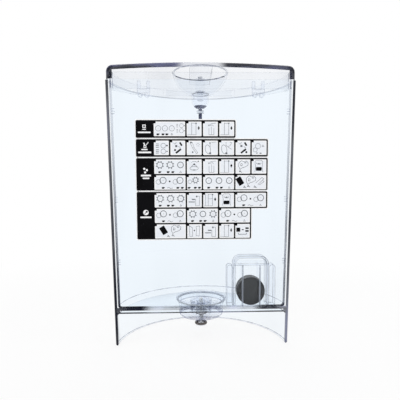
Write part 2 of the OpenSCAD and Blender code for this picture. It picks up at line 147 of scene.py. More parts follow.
class Graph:
    """The node tree of one material or world."""

    def __init__(self, owner: bpy.types.Material | bpy.types.World) -> None:
        """Empties the tree of a new material or world."""
        owner.use_nodes = True
        self.owner = owner
        self.tree = owner.node_tree
        self.tree.nodes.clear()

    def add(self, kind: str, settings: dict | None = None, values: dict | None = None) -> bpy.types.Node:
        """Adds a node.

        Args:
            kind: The node's type.
            settings: Its properties.
            values: Socket index or name to a number, colour, Value or socket.

        Returns:
            The node.
        """
        node = self.tree.nodes.new(kind)
        for key, setting in (settings or {}).items():
            setattr(node, key, setting)
        for key, value in (values or {}).items():
            socket = node.inputs[key]
            if isinstance(value, Value):
                self.tree.links.new(value.socket, socket)
            elif isinstance(value, Socket):
                self.tree.links.new(value, socket)
            elif isinstance(value, tuple) and len(value) == 3 and socket.type == "RGBA":
                socket.default_value = (*value, 1.0)
            else:
                socket.default_value = value
        return node

    def value(self, kind: str, settings: dict | None = None, values: dict | None = None, output: Any = 0) -> Value:
        """One output of a new node, as a Value."""
        return Value(self, self.add(kind, settings, values).outputs[output])

    def axes(self) -> list[Value]:
        """Object coordinates as three values, in metres."""
        parts = self.add("ShaderNodeSeparateXYZ", None, {0: self.add("ShaderNodeTexCoord").outputs["Object"]})
        return [Value(self, socket) for socket in parts.outputs]

    def noise(self, scale: float, detail: float = 2.0, stretch: Point = (1.0, 1.0, 1.0)) -> Value:
        """Smooth noise from 0 to 1.

        Args:
            scale: Noise scale, per metre.
            detail: Octaves.
            stretch: Stretch of the pattern along each axis.

        Returns:
            The noise value.
        """
        coords = self.add("ShaderNodeTexCoord").outputs["Object"]
        place = self.add("ShaderNodeMapping", None, {"Vector": coords, "Scale": stretch}).outputs[0]
        return self.value("ShaderNodeTexNoise", None, {"Vector": place, "Scale": scale, "Detail": detail})

    def blend(self, factor: Value, first: Colour, second: Colour) -> Socket:
        """A colour between two, by a factor."""
        values = {0: factor, 6: (*first, 1.0), 7: (*second, 1.0)}
        return self.add("ShaderNodeMix", {"data_type": "RGBA"}, values).outputs[2]

    def skin(self, colour: Any, roughness: Any, specular: float, more: dict | None = None) -> Socket:
        """A Principled surface with a colour, roughness, specular level and any further sockets."""
        values = {"Base Color": colour, "Roughness": roughness, "Specular IOR Level": specular, **(more or {})}
        return self.add("ShaderNodeBsdfPrincipled", None, values).outputs[0]

    def mix(self, factor: Value, first: Socket, second: Socket) -> Socket:
        """Two shaders mixed by a factor."""
        return self.add("ShaderNodeMixShader", None, {0: factor, 1: first, 2: second}).outputs[0]

    def clear(self, colour: Colour) -> Socket:
        """A transparent shader that tints what is behind it."""
        return self.add("ShaderNodeBsdfTransparent", None, {"Color": colour}).outputs[0]

    def seen(self) -> Value:
        """1 for rays from the camera, in a reflection or through glass."""
        rays = self.add("ShaderNodeLightPath").outputs
        camera, glossy, through = (Value(self, rays[f"Is {name} Ray"]) for name in ("Camera", "Glossy", "Transmission"))
        return (camera | glossy) | through

    def close(self, shader: Socket) -> bpy.types.Material | bpy.types.World:
        """Ends the graph in its output and returns the material or world."""
        self.add("ShaderNodeOutputWorld" if isinstance(self.owner, bpy.types.World) else "ShaderNodeOutputMaterial",
                 None, {0: shader})
        return self.owner


# ---------------------------------------------------------------- finishes


@dataclass(frozen=True)
class ClearSheet:
    """A clear moulded wall: it lets light through, and darkens where it is seen edge-on."""

    name: str
    tint: Colour = (0.968, 0.985, 1.0)
    dark: Colour = (0.03, 0.034, 0.08)
    start: float = 0.72
    end: float = 0.95
    strength: float = 0.6
    veil: float = 0.012
    flow: float = 18.0

    def make(self) -> bpy.types.Material:
        """The material, with faint flow marks from moulding."""
        g = Graph(bpy.data.materials.new(self.name))
        facing = g.value("ShaderNodeLayerWeight", None, {"Blend": 0.5}, "Facing")
        marks = g.noise(self.flow, 3.0, (1.0, 1.0, 0.35))
        factor = facing.rise(self.start, self.end) * self.strength + marks.rise(0.35, 0.75) * self.veil
        skin = g.skin(self.dark, marks.rise(0.3, 0.7, 0.06, 0.14), 0.25)
        return g.close(g.mix(factor, g.clear(self.tint), skin))


@dataclass(frozen=True)
class PaintedEdgeShading:
    """A thick moulded edge given painted shade: dark tones with lavender painted highlights along it stand for the
    light and shade that the clear plastic shows there.
    """

    name: str
    # The painted shade's dark tone and the painted highlight's lighter tone.
    painted_dark_tone: Colour = (0.006, 0.008, 0.018)
    painted_light_tone: Colour = (0.085, 0.095, 0.23)
    thin: float = 0.82
    full: float = 1.0
    grain: float = 55.0
    stretch: Point = (0.35, 1.0, 0.35)
    low_z: float = 0.0
    high_z: float = 0.0
    fade: float = 1.0
    gap_half: float = 0.0
    gap_soft: float = 0.006
    through: Colour = (0.95, 0.965, 1.0)

    def make(self) -> bpy.types.Material:
        """The material of painted shade and painted highlight; low_z to high_z fades the painted edge with height,
        gap_half thins it near the middle.
        """
        g = Graph(bpy.data.materials.new(self.name))
        x_axis, _, z_axis = g.axes()
        # Noise that lays the painted highlights over the painted shade along the edge.
        shading_noise = g.noise(self.grain, 4.0, self.stretch)
        colour = g.blend(shading_noise.rise(0.5, 0.72), self.painted_dark_tone, self.painted_light_tone)
        factor = shading_noise.rise(0.35, 0.65, self.full, self.thin)
        if self.high_z > self.low_z:
            factor = factor * z_axis.rise(self.low_z, self.high_z, 1.0, self.fade)
        if self.gap_half > 0.0:
            out = abs(x_axis) + (g.noise(30.0, 1.0) - 0.5) * 0.012
            factor = factor * out.rise(self.gap_half - self.gap_soft, self.gap_half + self.gap_soft, self.fade, 1.0)
        skin = g.skin(colour, shading_noise.rise(0.3, 0.7, 0.12, 0.3), 0.1)
        return g.close(g.mix(factor, g.clear(self.through), skin))


@dataclass(frozen=True)
class Moulded:
    """Opaque moulded plastic, rubber or film, with fine grain and slight colour variation."""

    name: str
    colour: Colour
    other: Colour
    roughness: float = 0.5
    spread: float = 0.12
    grain: float = 900.0
    depth: float = 0.00004
    metallic: float = 0.0
    specular: float = 0.5

    def make(self) -> bpy.types.Material:
        """The material."""
        g = Graph(bpy.data.materials.new(self.name))
        broad = g.noise(self.grain * 0.08, 3.0)
        bump = {"Strength": 0.35, "Distance": self.depth, "Height": g.noise(self.grain)}
        colour = g.blend(broad.rise(0.3, 0.7), self.colour, self.other)
        roughness = broad.rise(0.3, 0.7, self.roughness, self.roughness + self.spread)
        more = {"Metallic": self.metallic, "Normal": g.value("ShaderNodeBump", None, bump)}
        return g.close(g.skin(colour, roughness, self.specular, more))


MADE: dict[str, bpy.types.Material] = {}


class Finish(Enum):
    """Every finish of the tank, each made once."""

    TANK = ClearSheet("tank_clear")
    # Painted shade and painted highlights: the edge finishes below give the clear plastic's edges the dark shade and
    # lavender highlights that light makes there.
    TANK_EDGE = PaintedEdgeShading("tank_edge", stretch=(1.0, 1.0, 0.12))
    TANK_INNER = PaintedEdgeShading(
        "tank_inner_edge_shading", painted_dark_tone=(0.035, 0.042, 0.085), painted_light_tone=(0.3, 0.33, 0.5), thin=0.55, full=0.95,
        stretch=(1.0, 1.0, 0.12), low_z=0.06, high_z=0.24, fade=0.3,
    )
    FLOOR_EDGE = PaintedEdgeShading(
        "floor_edge", painted_dark_tone=(0.006, 0.008, 0.02), painted_light_tone=(0.25, 0.27, 0.5), thin=0.7, stretch=(0.5, 1.0, 1.0),
        fade=0.42, gap_half=0.058,
    )
    LID = ClearSheet("lid_clear", tint=(0.98, 0.984, 0.99), start=0.8, end=0.99, strength=0.35, veil=0.03)
    LID_EDGE = PaintedEdgeShading(
        "lid_edge", painted_light_tone=(0.06, 0.068, 0.17), thin=0.93, stretch=(0.3, 1.0, 1.0), fade=0.25, gap_half=0.021,
    )
    # The line finishes are painted shade on clear edges; the pale one is painted light over dark parts and a faint
    # painted shade against the white.
    LINE = PaintedEdgeShading(
        "clear_line", painted_dark_tone=(0.26, 0.27, 0.37), painted_light_tone=(0.6, 0.61, 0.74), thin=0.3, full=0.62, grain=160.0,
        stretch=(1.0, 1.0, 1.0),
    )
    PALE_LINE = PaintedEdgeShading(
        "pale_shading_line", painted_dark_tone=(0.5, 0.51, 0.55), painted_light_tone=(0.86, 0.87, 0.9), thin=0.4, full=0.7, grain=140.0,
        stretch=(1.0, 1.0, 0.5),
    )
    LINE_DARK = PaintedEdgeShading(
        "dark_shading_line", painted_dark_tone=(0.06, 0.065, 0.12), painted_light_tone=(0.35, 0.36, 0.52), thin=0.55, full=0.92, grain=120.0,
        stretch=(1.0, 1.0, 1.0),
    )
    PART = ClearSheet("part_clear", tint=(0.982, 0.988, 1.0), start=0.7, end=0.97, strength=0.28, veil=0.02, flow=60.0)
    FLOAT = Moulded("float_grey", (0.043, 0.042, 0.041), (0.053, 0.052, 0.051), roughness=0.42, depth=0.00003)
    RUBBER = Moulded("seal_rubber", (0.11, 0.092, 0.082), (0.15, 0.128, 0.115), roughness=0.6)
    SEAL = Moulded("seal_silicone", (0.62, 0.64, 0.67), (0.7, 0.72, 0.74), roughness=0.4)
    VALVE = Moulded("valve_white", (0.78, 0.78, 0.76), (0.84, 0.84, 0.82), roughness=0.35)
    STEEL = Moulded(
        "spring_steel", (0.55, 0.56, 0.58), (0.68, 0.69, 0.7), roughness=0.22, metallic=1.0, depth=0.00001
    )
    MAGNET = Moulded("magnet_nickel", (0.5, 0.5, 0.51), (0.6, 0.6, 0.6), roughness=0.25, metallic=1.0)
    FILM = Moulded("label_film", (0.85, 0.885, 0.945), (0.89, 0.915, 0.96), roughness=0.38, depth=0.00001)
    WHITE_FILM = Moulded("label_white", (0.93, 0.94, 0.96), (0.97, 0.97, 0.98), roughness=0.4, depth=0.00001)
    INK = Moulded("label_ink", (0.002, 0.002, 0.0025), (0.004, 0.004, 0.005), specular=0.04, depth=0.00001)
    GREY_INK = Moulded("label_grey_ink", (0.09, 0.1, 0.12), (0.13, 0.145, 0.165), depth=0.00001)

    def material(self) -> bpy.types.Material:
        """The finish's material, made at first use."""
        if self.name not in MADE:
            MADE[self.name] = self.value.make()
        return MADE[self.name]


# ---------------------------------------------------------------- bench


class Kind(Enum):
    """What an edit-mode selection is made of."""

    VERTS = (True, False, False)
    EDGES = (False, True, False)
    FACES = (False, False, True)


def level(edge: bmesh.types.BMEdge, axis: int, limit: float = 0.02) -> bool:
    """True if an edge lies along an axis."""
    run = edge.verts[1].co - edge.verts[0].co
    return run.length > 1e-9 and abs(run[axis]) / run.length > 1 - limit


def sharp(edge: bmesh.types.BMEdge, degrees: float = 30.0) -> bool:
    """True if the two faces of an edge turn by more than an angle."""
    return edge.is_manifold and edge.calc_face_angle(0.0) > math.radians(degrees)


def flush(edge: bmesh.types.BMEdge, axis: int, place: float, slack: float = TOUCH) -> bool:
    """True if both ends of an edge lie at one place on an axis, in metres."""
    return all(abs(v.co[axis] - place) < slack for v in edge.verts)


def middle(face: bmesh.types.BMFace) -> Vector:
    """The centre of a face."""
    return face.calc_center_median()


class Work:
    """One mesh piece on the bench, shaped with edit-mode operators and modifiers."""

    def __init__(self, name: str, finishes: Sequence[Finish]) -> None:
        """Takes over the object that an operator has just added.

        Args:
            name: The piece's name.
            finishes: Its material slots, in order.
        """
        self.obj = bpy.context.object
        self.obj.name = self.obj.data.name = name
        for finish in finishes:
            self.obj.data.materials.append(finish.material())

    @staticmethod
    def clear() -> None:
        """Object mode, with nothing selected."""
        if bpy.context.object and bpy.context.object.mode != "OBJECT":
            bpy.ops.object.mode_set(mode="OBJECT")
        bpy.ops.object.select_all(action="DESELECT")

    def hold(self) -> None:
        """Selects this piece alone and makes it active."""
        self.clear()
        self.obj.select_set(True)
        bpy.context.view_layer.objects.active = self.obj

    def seat(self) -> "Work":
        """Puts the piece's place into its mesh and returns the piece."""
        self.hold()
        bpy.ops.object.transform_apply(location=True, rotation=True, scale=True)
        return self

    def edit(self) -> None:
        """Opens the piece in edit mode with nothing picked."""
        if bpy.context.object != self.obj or self.obj.mode != "EDIT":
            self.hold()
            bpy.ops.object.mode_set(mode="EDIT")
        bpy.ops.mesh.select_all(action="DESELECT")

    def all(self) -> None:
        """Picks everything in edit mode."""
        self.edit()
        bpy.ops.mesh.select_all(action="SELECT")

    def pick(self, kind: Kind, test: Callable[[Any], bool]) -> None:
        """Picks elements in edit mode.

        Args:
            kind: Verts, edges or faces.
            test: True for the elements to pick.
        """
        self.edit()
        bpy.context.tool_settings.mesh_select_mode = kind.value
        mesh = bmesh.from_edit_mesh(self.obj.data)
        for element in {Kind.VERTS: mesh.verts, Kind.EDGES: mesh.edges, Kind.FACES: mesh.faces}[kind]:
            if test(element):
                element.select_set(True)
        mesh.select_flush_mode()
        bmesh.update_edit_mesh(self.obj.data)

    def paint(self, slot: int, test: Callable[[bmesh.types.BMFace], bool]) -> None:
        """Gives faces one of the piece's finishes.

        Args:
            slot: The material slot.
            test: True for the faces.
        """
        self.pick(Kind.FACES, test)
        self.obj.active_material_index = slot
        bpy.ops.object.material_slot_assign()

    def bevel(self, width: float, steps: int, slot: int, test: Callable[[bmesh.types.BMEdge], bool]) -> None:
        """Rounds edges.

        Args:
            width: Width of the rounding, in mm.
            steps: Segments.
            slot: Material slot of the new faces, or -1 for that of their neighbours.
            test: True for the edges.
        """
        self.pick(Kind.EDGES, test)
        bpy.ops.mesh.bevel(
            offset=width * MM, segments=steps, profile=0.5, affect="EDGES", material=slot, clamp_overlap=False
        )

    def slice(self, place: Vector, normal: Point, trim: bool = False) -> None:
        """Cuts every face along a plane.

        Args:
            place: A point of the plane.
            normal: Its normal.
            trim: Removes what lies before the plane, and closes the cut.
        """
        self.all()
        bpy.ops.mesh.bisect(plane_co=tuple(place), plane_no=normal, use_fill=trim, clear_inner=trim)

    def modify(self, kind: str, **settings: Any) -> None:
        """Adds a modifier and applies it.

        Args:
            kind: The modifier's type.
            settings: Its properties.
        """
        self.hold()
        modifier = self.obj.modifiers.new(kind.title(), kind)
        for key, value in settings.items():
            setattr(modifier, key, value)
        bpy.ops.object.modifier_apply(modifier=modifier.name)

    def combine(self, operation: str, *others: "Work") -> None:
        """Cuts other pieces out of this one, or welds them to it, and removes them.

        Args:
            operation: DIFFERENCE or UNION.
            others: The other pieces.
        """
        for other in others:
            self.modify("BOOLEAN", operation=operation, object=other.obj, solver="EXACT")
            bpy.data.objects.remove(other.obj)

    def ease(self, width: float, slot: int = 1, steps: int = 3, angle: float = 35.0) -> "Work":
        """Rounds every sharp edge.

        Args:
            width: Width of the rounding, in mm.
            slot: Material slot of the rounded edges.
            steps: Segments.
            angle: Smallest turn that counts as sharp, in degrees.

        Returns:
            The piece.
        """
        self.modify(
            "BEVEL", width=width * MM, segments=steps, limit_method="ANGLE", angle_limit=math.radians(angle),
            material=slot, use_clamp_overlap=True,
        )
        return self

    def join(self, *others: "Work") -> None:
        """Joins other pieces to this one's mesh as loose parts."""
        self.hold()
        for other in others:
            other.obj.select_set(True)
        bpy.ops.object.join()

    def copy(self, name: str, move: Point = (0.0, 0.0, 0.0), mirror_x: float | None = None) -> "Work":
        """A copy with its own mesh.

        Args:
            name: The copy's name.
            move: How far it is moved, in mm.
            mirror_x: Where given, the plane that the copy is mirrored in.

        Returns:
            The copy.
        """
        self.hold()
        bpy.ops.object.duplicate(linked=False)
        made = Work(name, ())
        made.all()
        bpy.ops.transform.translate(value=tuple(v * MM for v in move))
        if mirror_x is not None:
            bpy.ops.transform.resize(value=(-1.0, 1.0, 1.0), center_override=(mirror_x * MM, 0.0, 0.0))
            bpy.ops.mesh.normals_make_consistent(inside=False)
        made.clear()
        return made

    def tidy(self) -> "Work":
        """Merges doubles, turns the faces outwards and returns the piece."""
        self.all()
        bpy.ops.mesh.remove_doubles(threshold=MERGE)
        bpy.ops.mesh.normals_make_consistent(inside=False)
        self.clear()
        return self

    def finish(self, body: str, slot: str, *nodes: str, angle: float = 32.0) -> None:
        """Smooths the piece, seats its origin and puts it on its body.

        Args:
            body: The body it rides on.
            slot: The record's material slot; not used.
            nodes: The CAD nodes that it stands for.
            angle: Smallest turn that stays sharp, in degrees.
        """
        self.seat()
        bpy.ops.object.shade_smooth_by_angle(angle=math.radians(angle))
        self.clear()
        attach(self.obj, body)
        if nodes:
            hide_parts(*nodes)
        log.info("%s: %d faces on %s", self.obj.name, len(self.obj.data.polygons), body)


def block(name: str, finishes: Sequence[Finish], low: Point, high: Point) -> Work:
    """A box between two corners of the wall frame.

    Args:
        name: The piece's name.
        finishes: Its material slots.
        low: Lowest x, d and z in mm.
        high: Highest x, d and z in mm.

    Returns:
        The piece.
    """
    Work.clear()
    centre = spot(*((a + b) / 2 for a, b in zip(low, high)))
    bpy.ops.mesh.primitive_cube_add(size=1.0, location=centre)
    work = Work(name, finishes)
    work.all()
    bpy.ops.transform.resize(value=tuple((b - a) * MM for a, b in zip(low, high)), center_override=tuple(centre))
    return work.seat()


def turned(name: str, finishes: Sequence[Finish], profile: Sequence[tuple[float, float]], d: float,
           steps: int = 96) -> Work:
    """A part turned from its half section round an upright axis in the middle of the tank's width.

    Args:
        name: The piece's name.
        finishes: Its material slots.
        profile: Radius and height of each point, in mm; it closes on itself or on the axis.
        d: Distance of the axis from the flat wall.
        steps: Segments round the axis.

    Returns:
        The piece.
    """
    Work.clear()
    points = [spot(r, d, z) for r, z in profile]
    if profile[0][0] > 0 or profile[-1][0] > 0:
        points.append(points[0])
    bpy.ops.mesh.primitive_plane_add(size=MM, location=points[0])
    work = Work(name, finishes)
    bpy.context.tool_settings.mesh_select_mode = Kind.VERTS.value
    work.all()
    bpy.ops.mesh.merge(type="CENTER")
    for here, there in zip(points, points[1:]):
        bpy.ops.mesh.extrude_vertices_move(TRANSFORM_OT_translate={"value": tuple(there - here)})
    work.seat().all()
    bpy.ops.mesh.spin(steps=steps, angle=2 * math.pi, center=tuple(spot(0, d, 0)), axis=UP)
    work.clear()
    return work.tidy()


def rod(name: str, finishes: Sequence[Finish], place: tuple[float, float], depths: tuple[float, float],
        radius: float, sides: int) -> Work:
    """A cylinder that lies from front to back.

    Args:
        name: The piece's name.
        finishes: Its material slots.
        place: Place of its axis along the flat wall, and its height.
        depths: Distances of its front and back faces from the flat wall.
        radius: Its radius.
        sides: Sides of the circle.

    Returns:
        The piece.
    """
    Work.clear()
    bpy.ops.mesh.primitive_cylinder_add(
        vertices=sides, radius=radius * MM, depth=(depths[1] - depths[0]) * MM,
        location=spot(place[0], sum(depths) / 2, place[1]), rotation=LYING,
    )
    return Work(name, finishes).seat()


def from_node(name: str, finishes: Sequence[Finish], node: str) -> Work:
    """A merged copy of a CAD node's mesh, ready for its edges to be rounded.

    Args:
        name: The piece's name.
        finishes: Its material slots.
        node: The CAD node.

    Returns:
        The piece.
    """
    Work.clear()
    source = frame["nodes"][node]
    source.select_set(True)
    bpy.context.view_layer.objects.active = source
    bpy.ops.object.duplicate(linked=False)
    bpy.ops.object.parent_clear(type="CLEAR")
    made = bpy.context.object
    made.data.materials.clear()
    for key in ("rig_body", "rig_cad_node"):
        if key in made:
            del made[key]
    work = Work(name, finishes)
    work.all()
    bpy.ops.mesh.remove_doubles(threshold=MERGE)
    bpy.ops.mesh.dissolve_limited(angle_limit=math.radians(1.0))
    work.clear()
    return work


def dress(node: bpy.types.Object, finish: Finish) -> None:
    """Gives a CAD node its finish."""
    node.data.materials.clear()
    node.data.materials.append(finish.material())
    log.info("%s: dressed as %s", node.name, finish.value.name)


# ---------------------------------------------------------------- tank form


@dataclass
class TankForm:
    """The tapered D that the tank, the lid and the plug share, in mm."""

    foot_r: float = 89.9
    rim_r: float = 95.1
    height: float = 269.5
    axis_out: float = 3.3
    wall: float = 3.0
    floor_z: float = 37.8
    floor_t: float = 4.0
    sides: int = 288

    def radius_at(self, z: float) -> float:
        """Radius of the round wall's outer face at a height."""
        return self.foot_r + (self.rim_r - self.foot_r) * z / self.height

    def half_width(self, z: float) -> float:
        """Half-width of the flat wall's outer face at a height."""
        return math.sqrt(self.radius_at(z) ** 2 - self.axis_out**2)

    def drum(self, name: str, finishes: Sequence[Finish], z0: float, z1: float, radii: tuple[float, float]) -> Work:
        """A tapered drum round the round wall's axis.

        Args:
            name: The piece's name.
            finishes: Its material slots.
            z0: Its lower end.
            z1: Its upper end.
            radii: Radius at the lower and upper end.

        Returns:
            The piece.
        """
        Work.clear()
        half = (z0 + z1) / 2
        bpy.ops.mesh.primitive_cylinder_add(
            vertices=self.sides, radius=radii[0] * MM, depth=(z1 - z0) * MM, location=spot(0, -self.axis_out, half)
        )
        work = Work(name, finishes).seat()
        work.pick(Kind.VERTS, lambda v: v.co.z > half * MM)
        grow = radii[1] / radii[0]
        bpy.ops.transform.resize(value=(grow, grow, 1.0), center_override=tuple(spot(0, -self.axis_out, z1)))
        work.clear()
        return work

    def d_block(self, name: str, finishes: Sequence[Finish], z0: float, z1: float, radii: tuple[float, float],
                inset: float, corner: float, slot: int = 1) -> Work:
        """A solid D with rounded upright corners at the flat wall.

        Args:
            name: The piece's name.
            finishes: Its material slots.
            z0: Its lower end.
            z1: Its upper end.
            radii: Radius of the round side at the lower and upper end.
            inset: Distance of its flat side behind the flat wall's outer face.
            corner: Width of the corners' rounding.
            slot: Material slot of the corners.

        Returns:
            The piece.
        """
        work = self.drum(name, finishes, z0, z1, radii)
        plane = spot(0, inset, 0)
        work.slice(plane, BACKWARDS, True)
        reach = plane.y + (corner + 1.5) * MM
        work.pick(
            Kind.EDGES, lambda e: level(e, 2, 0.05) and all(plane.y + 1e-5 < v.co.y < reach for v in e.verts)
        )
        bpy.ops.mesh.dissolve_edges()
        work.bevel(corner, 6, slot, lambda e: flush(e, 1, plane.y) and level(e, 2, 0.05))
        work.clear()
        return work


FORM = TankForm()


# ---------------------------------------------------------------- tank


@dataclass
class Tank:
    """The clear body with its skirt, floor and level marks."""

    corner: float = 3.6
    inner_corner: float = 3.2
    skirt_end: float = 3.2
    floor_round: float = 2.8
    rim_round: float = 0.8
    foot_round: float = 0.6
    hole_r: float = 25.15
    outlet_d: float = 35.5
    strips: tuple[float, float, float] = (1.4, 3.1, 6.2)
    end_strip: float = 2.6
    mark_heights: tuple[float, float, float] = (49.0, 113.0, 201.0)
    mark_edge: float = 2.0
    mark_size: tuple[float, float] = (3.2, 0.7)
    mark_pitch: float = 2.4

    def build(self) -> None:
        """Makes the body and its marks."""
        self.body()
        self.marks()

    def body(self) -> None:
        """The walls, floor and skirt as one hollow solid."""
        finishes = (Finish.TANK, Finish.TANK_EDGE, Finish.TANK_INNER, Finish.FLOOR_EDGE, Finish.LINE)
        under = FORM.floor_z - FORM.floor_t
        work = FORM.d_block("tank_body", finishes, 0, FORM.height, (FORM.foot_r, FORM.rim_r), 0.0, self.corner)
        above = FORM.height + 1
        room = FORM.d_block(
            "room", finishes, FORM.floor_z, above,
            (FORM.radius_at(FORM.floor_z) - FORM.wall, FORM.radius_at(above) - FORM.wall),
            FORM.wall, self.inner_corner, 2,
        )
        self.round_floor(room, FORM.floor_z)
        # Painted shade: a thin dark line on the floor's rounding at the back.
        room.paint(4, lambda f: f.material_index == 0 and middle(f).y > BEHIND and 0.1 < abs(f.normal.z) < 0.25)
        room.clear()
        skirt = FORM.drum(
            "skirt_room", finishes, -1, under, (FORM.radius_at(-1) - FORM.wall, FORM.radius_at(under) - FORM.wall)
        )
        self.round_floor(skirt, under)
        skirt.clear()
        low, high = under - 1, FORM.floor_z + 1
        hole = turned(
            "hole", finishes, ((0, low), (self.hole_r, low), (self.hole_r, high), (0, high)), self.outlet_d
        )
        work.combine("DIFFERENCE", room, skirt, hole)
        self.front_edges(work, under)
        # Painted shade on the rim's rounding, made clear again at the flat wall.
        work.bevel(self.rim_round, 3, 2, lambda e: sharp(e) and flush(e, 2, FORM.height * MM, 1e-5))
        rim = (FORM.height - 1) * MM
        work.paint(0, lambda f: f.material_index == 2 and middle(f).z > rim and middle(f).y < BEHIND)
        # A painted-shade line along the foot's rounding.
        work.bevel(self.foot_round, 2, 4, lambda e: sharp(e) and all(v.co.z < 1e-5 for v in e.verts))
        work.finish("tank", "clear_tank", "tank_shell")

    def round_floor(self, room: Work, z: float) -> None:
        """Rounds a hollow's edge at the floor, with painted shade at the flat wall only.

        Args:
            room: The hollow.
            z: Height of the edge.
        """
        room.bevel(self.floor_round, 5, 3, lambda e: flush(e, 2, z * MM))
        room.paint(0, lambda f: f.material_index == 3 and middle(f).y > BEHIND)

    def front_edges(self, work: Work, under: float) -> None:
        """Cuts and paints strips of painted shade on the floor's and the skirt's front faces.

        Args:
            work: The body.
            under: Height of the floor's underside.
        """
        first, second, third = self.strips
        ends = FORM.half_width(under) - self.corner - self.end_strip
        for height in self.strips:
            work.slice(spot(0, 0, under + height), UP)
        work.slice(spot(0, self.skirt_end, 0), BACKWARDS)
        for end in (ends, -ends):
            work.slice(spot(end, 0, 0), SIDEWAYS)

        def at_front(f: bmesh.types.BMFace) -> bool:
            """True for the floor's front edge and the corners where it meets the walls, which get painted shade."""
            c, up = middle(f), middle(f).z / MM - under
            strip = 0.0 < up < first or second < up < third
            side = abs(c.x) > ends * MM and -1.5 < up < third
            return c.y < FRONT_Y + 0.0001 and (strip or side)

        work.paint(3, at_front)
        foot = FRONT_Y + self.skirt_end * MM
        # Painted shade on the skirt's front faces below the floor.
        work.paint(1, lambda f: middle(f).y < foot and middle(f).z < under * MM)

    def marks(self) -> None:
        """Three short dashes at each mark height beside both edges, from one dash."""
        long, tall = self.mark_size
        base = self.mark_heights[0]
        z0 = FORM.floor_z + base
        x0 = -(FORM.half_width(z0) - self.mark_edge - FORM.wall - 3.2)
        first = block(
            "level_marks", (Finish.PART, Finish.LINE), (x0 - long, FORM.wall - 0.1, z0 - 2.75),
            (x0, FORM.wall + 0.6, z0 - 2.75 + tall),
        )
        # The dashes' rounded edges carry the painted-shade line.
        first.ease(0.2, 1, 2)
        places = [(height, i) for height in self.mark_heights for i in range(3)][1:]
        parts = []
        for height, i in places:
            edge = FORM.half_width(FORM.floor_z + height) - FORM.half_width(z0)
            parts.append(first.copy("mark", (-edge, 0, height - base + i * self.mark_pitch)))
        first.join(*parts)
        first.join(first.copy("marks_right", mirror_x=0.0))
        first.tidy().finish("tank", "clear_tank")


# ---------------------------------------------------------------- outlet and valve


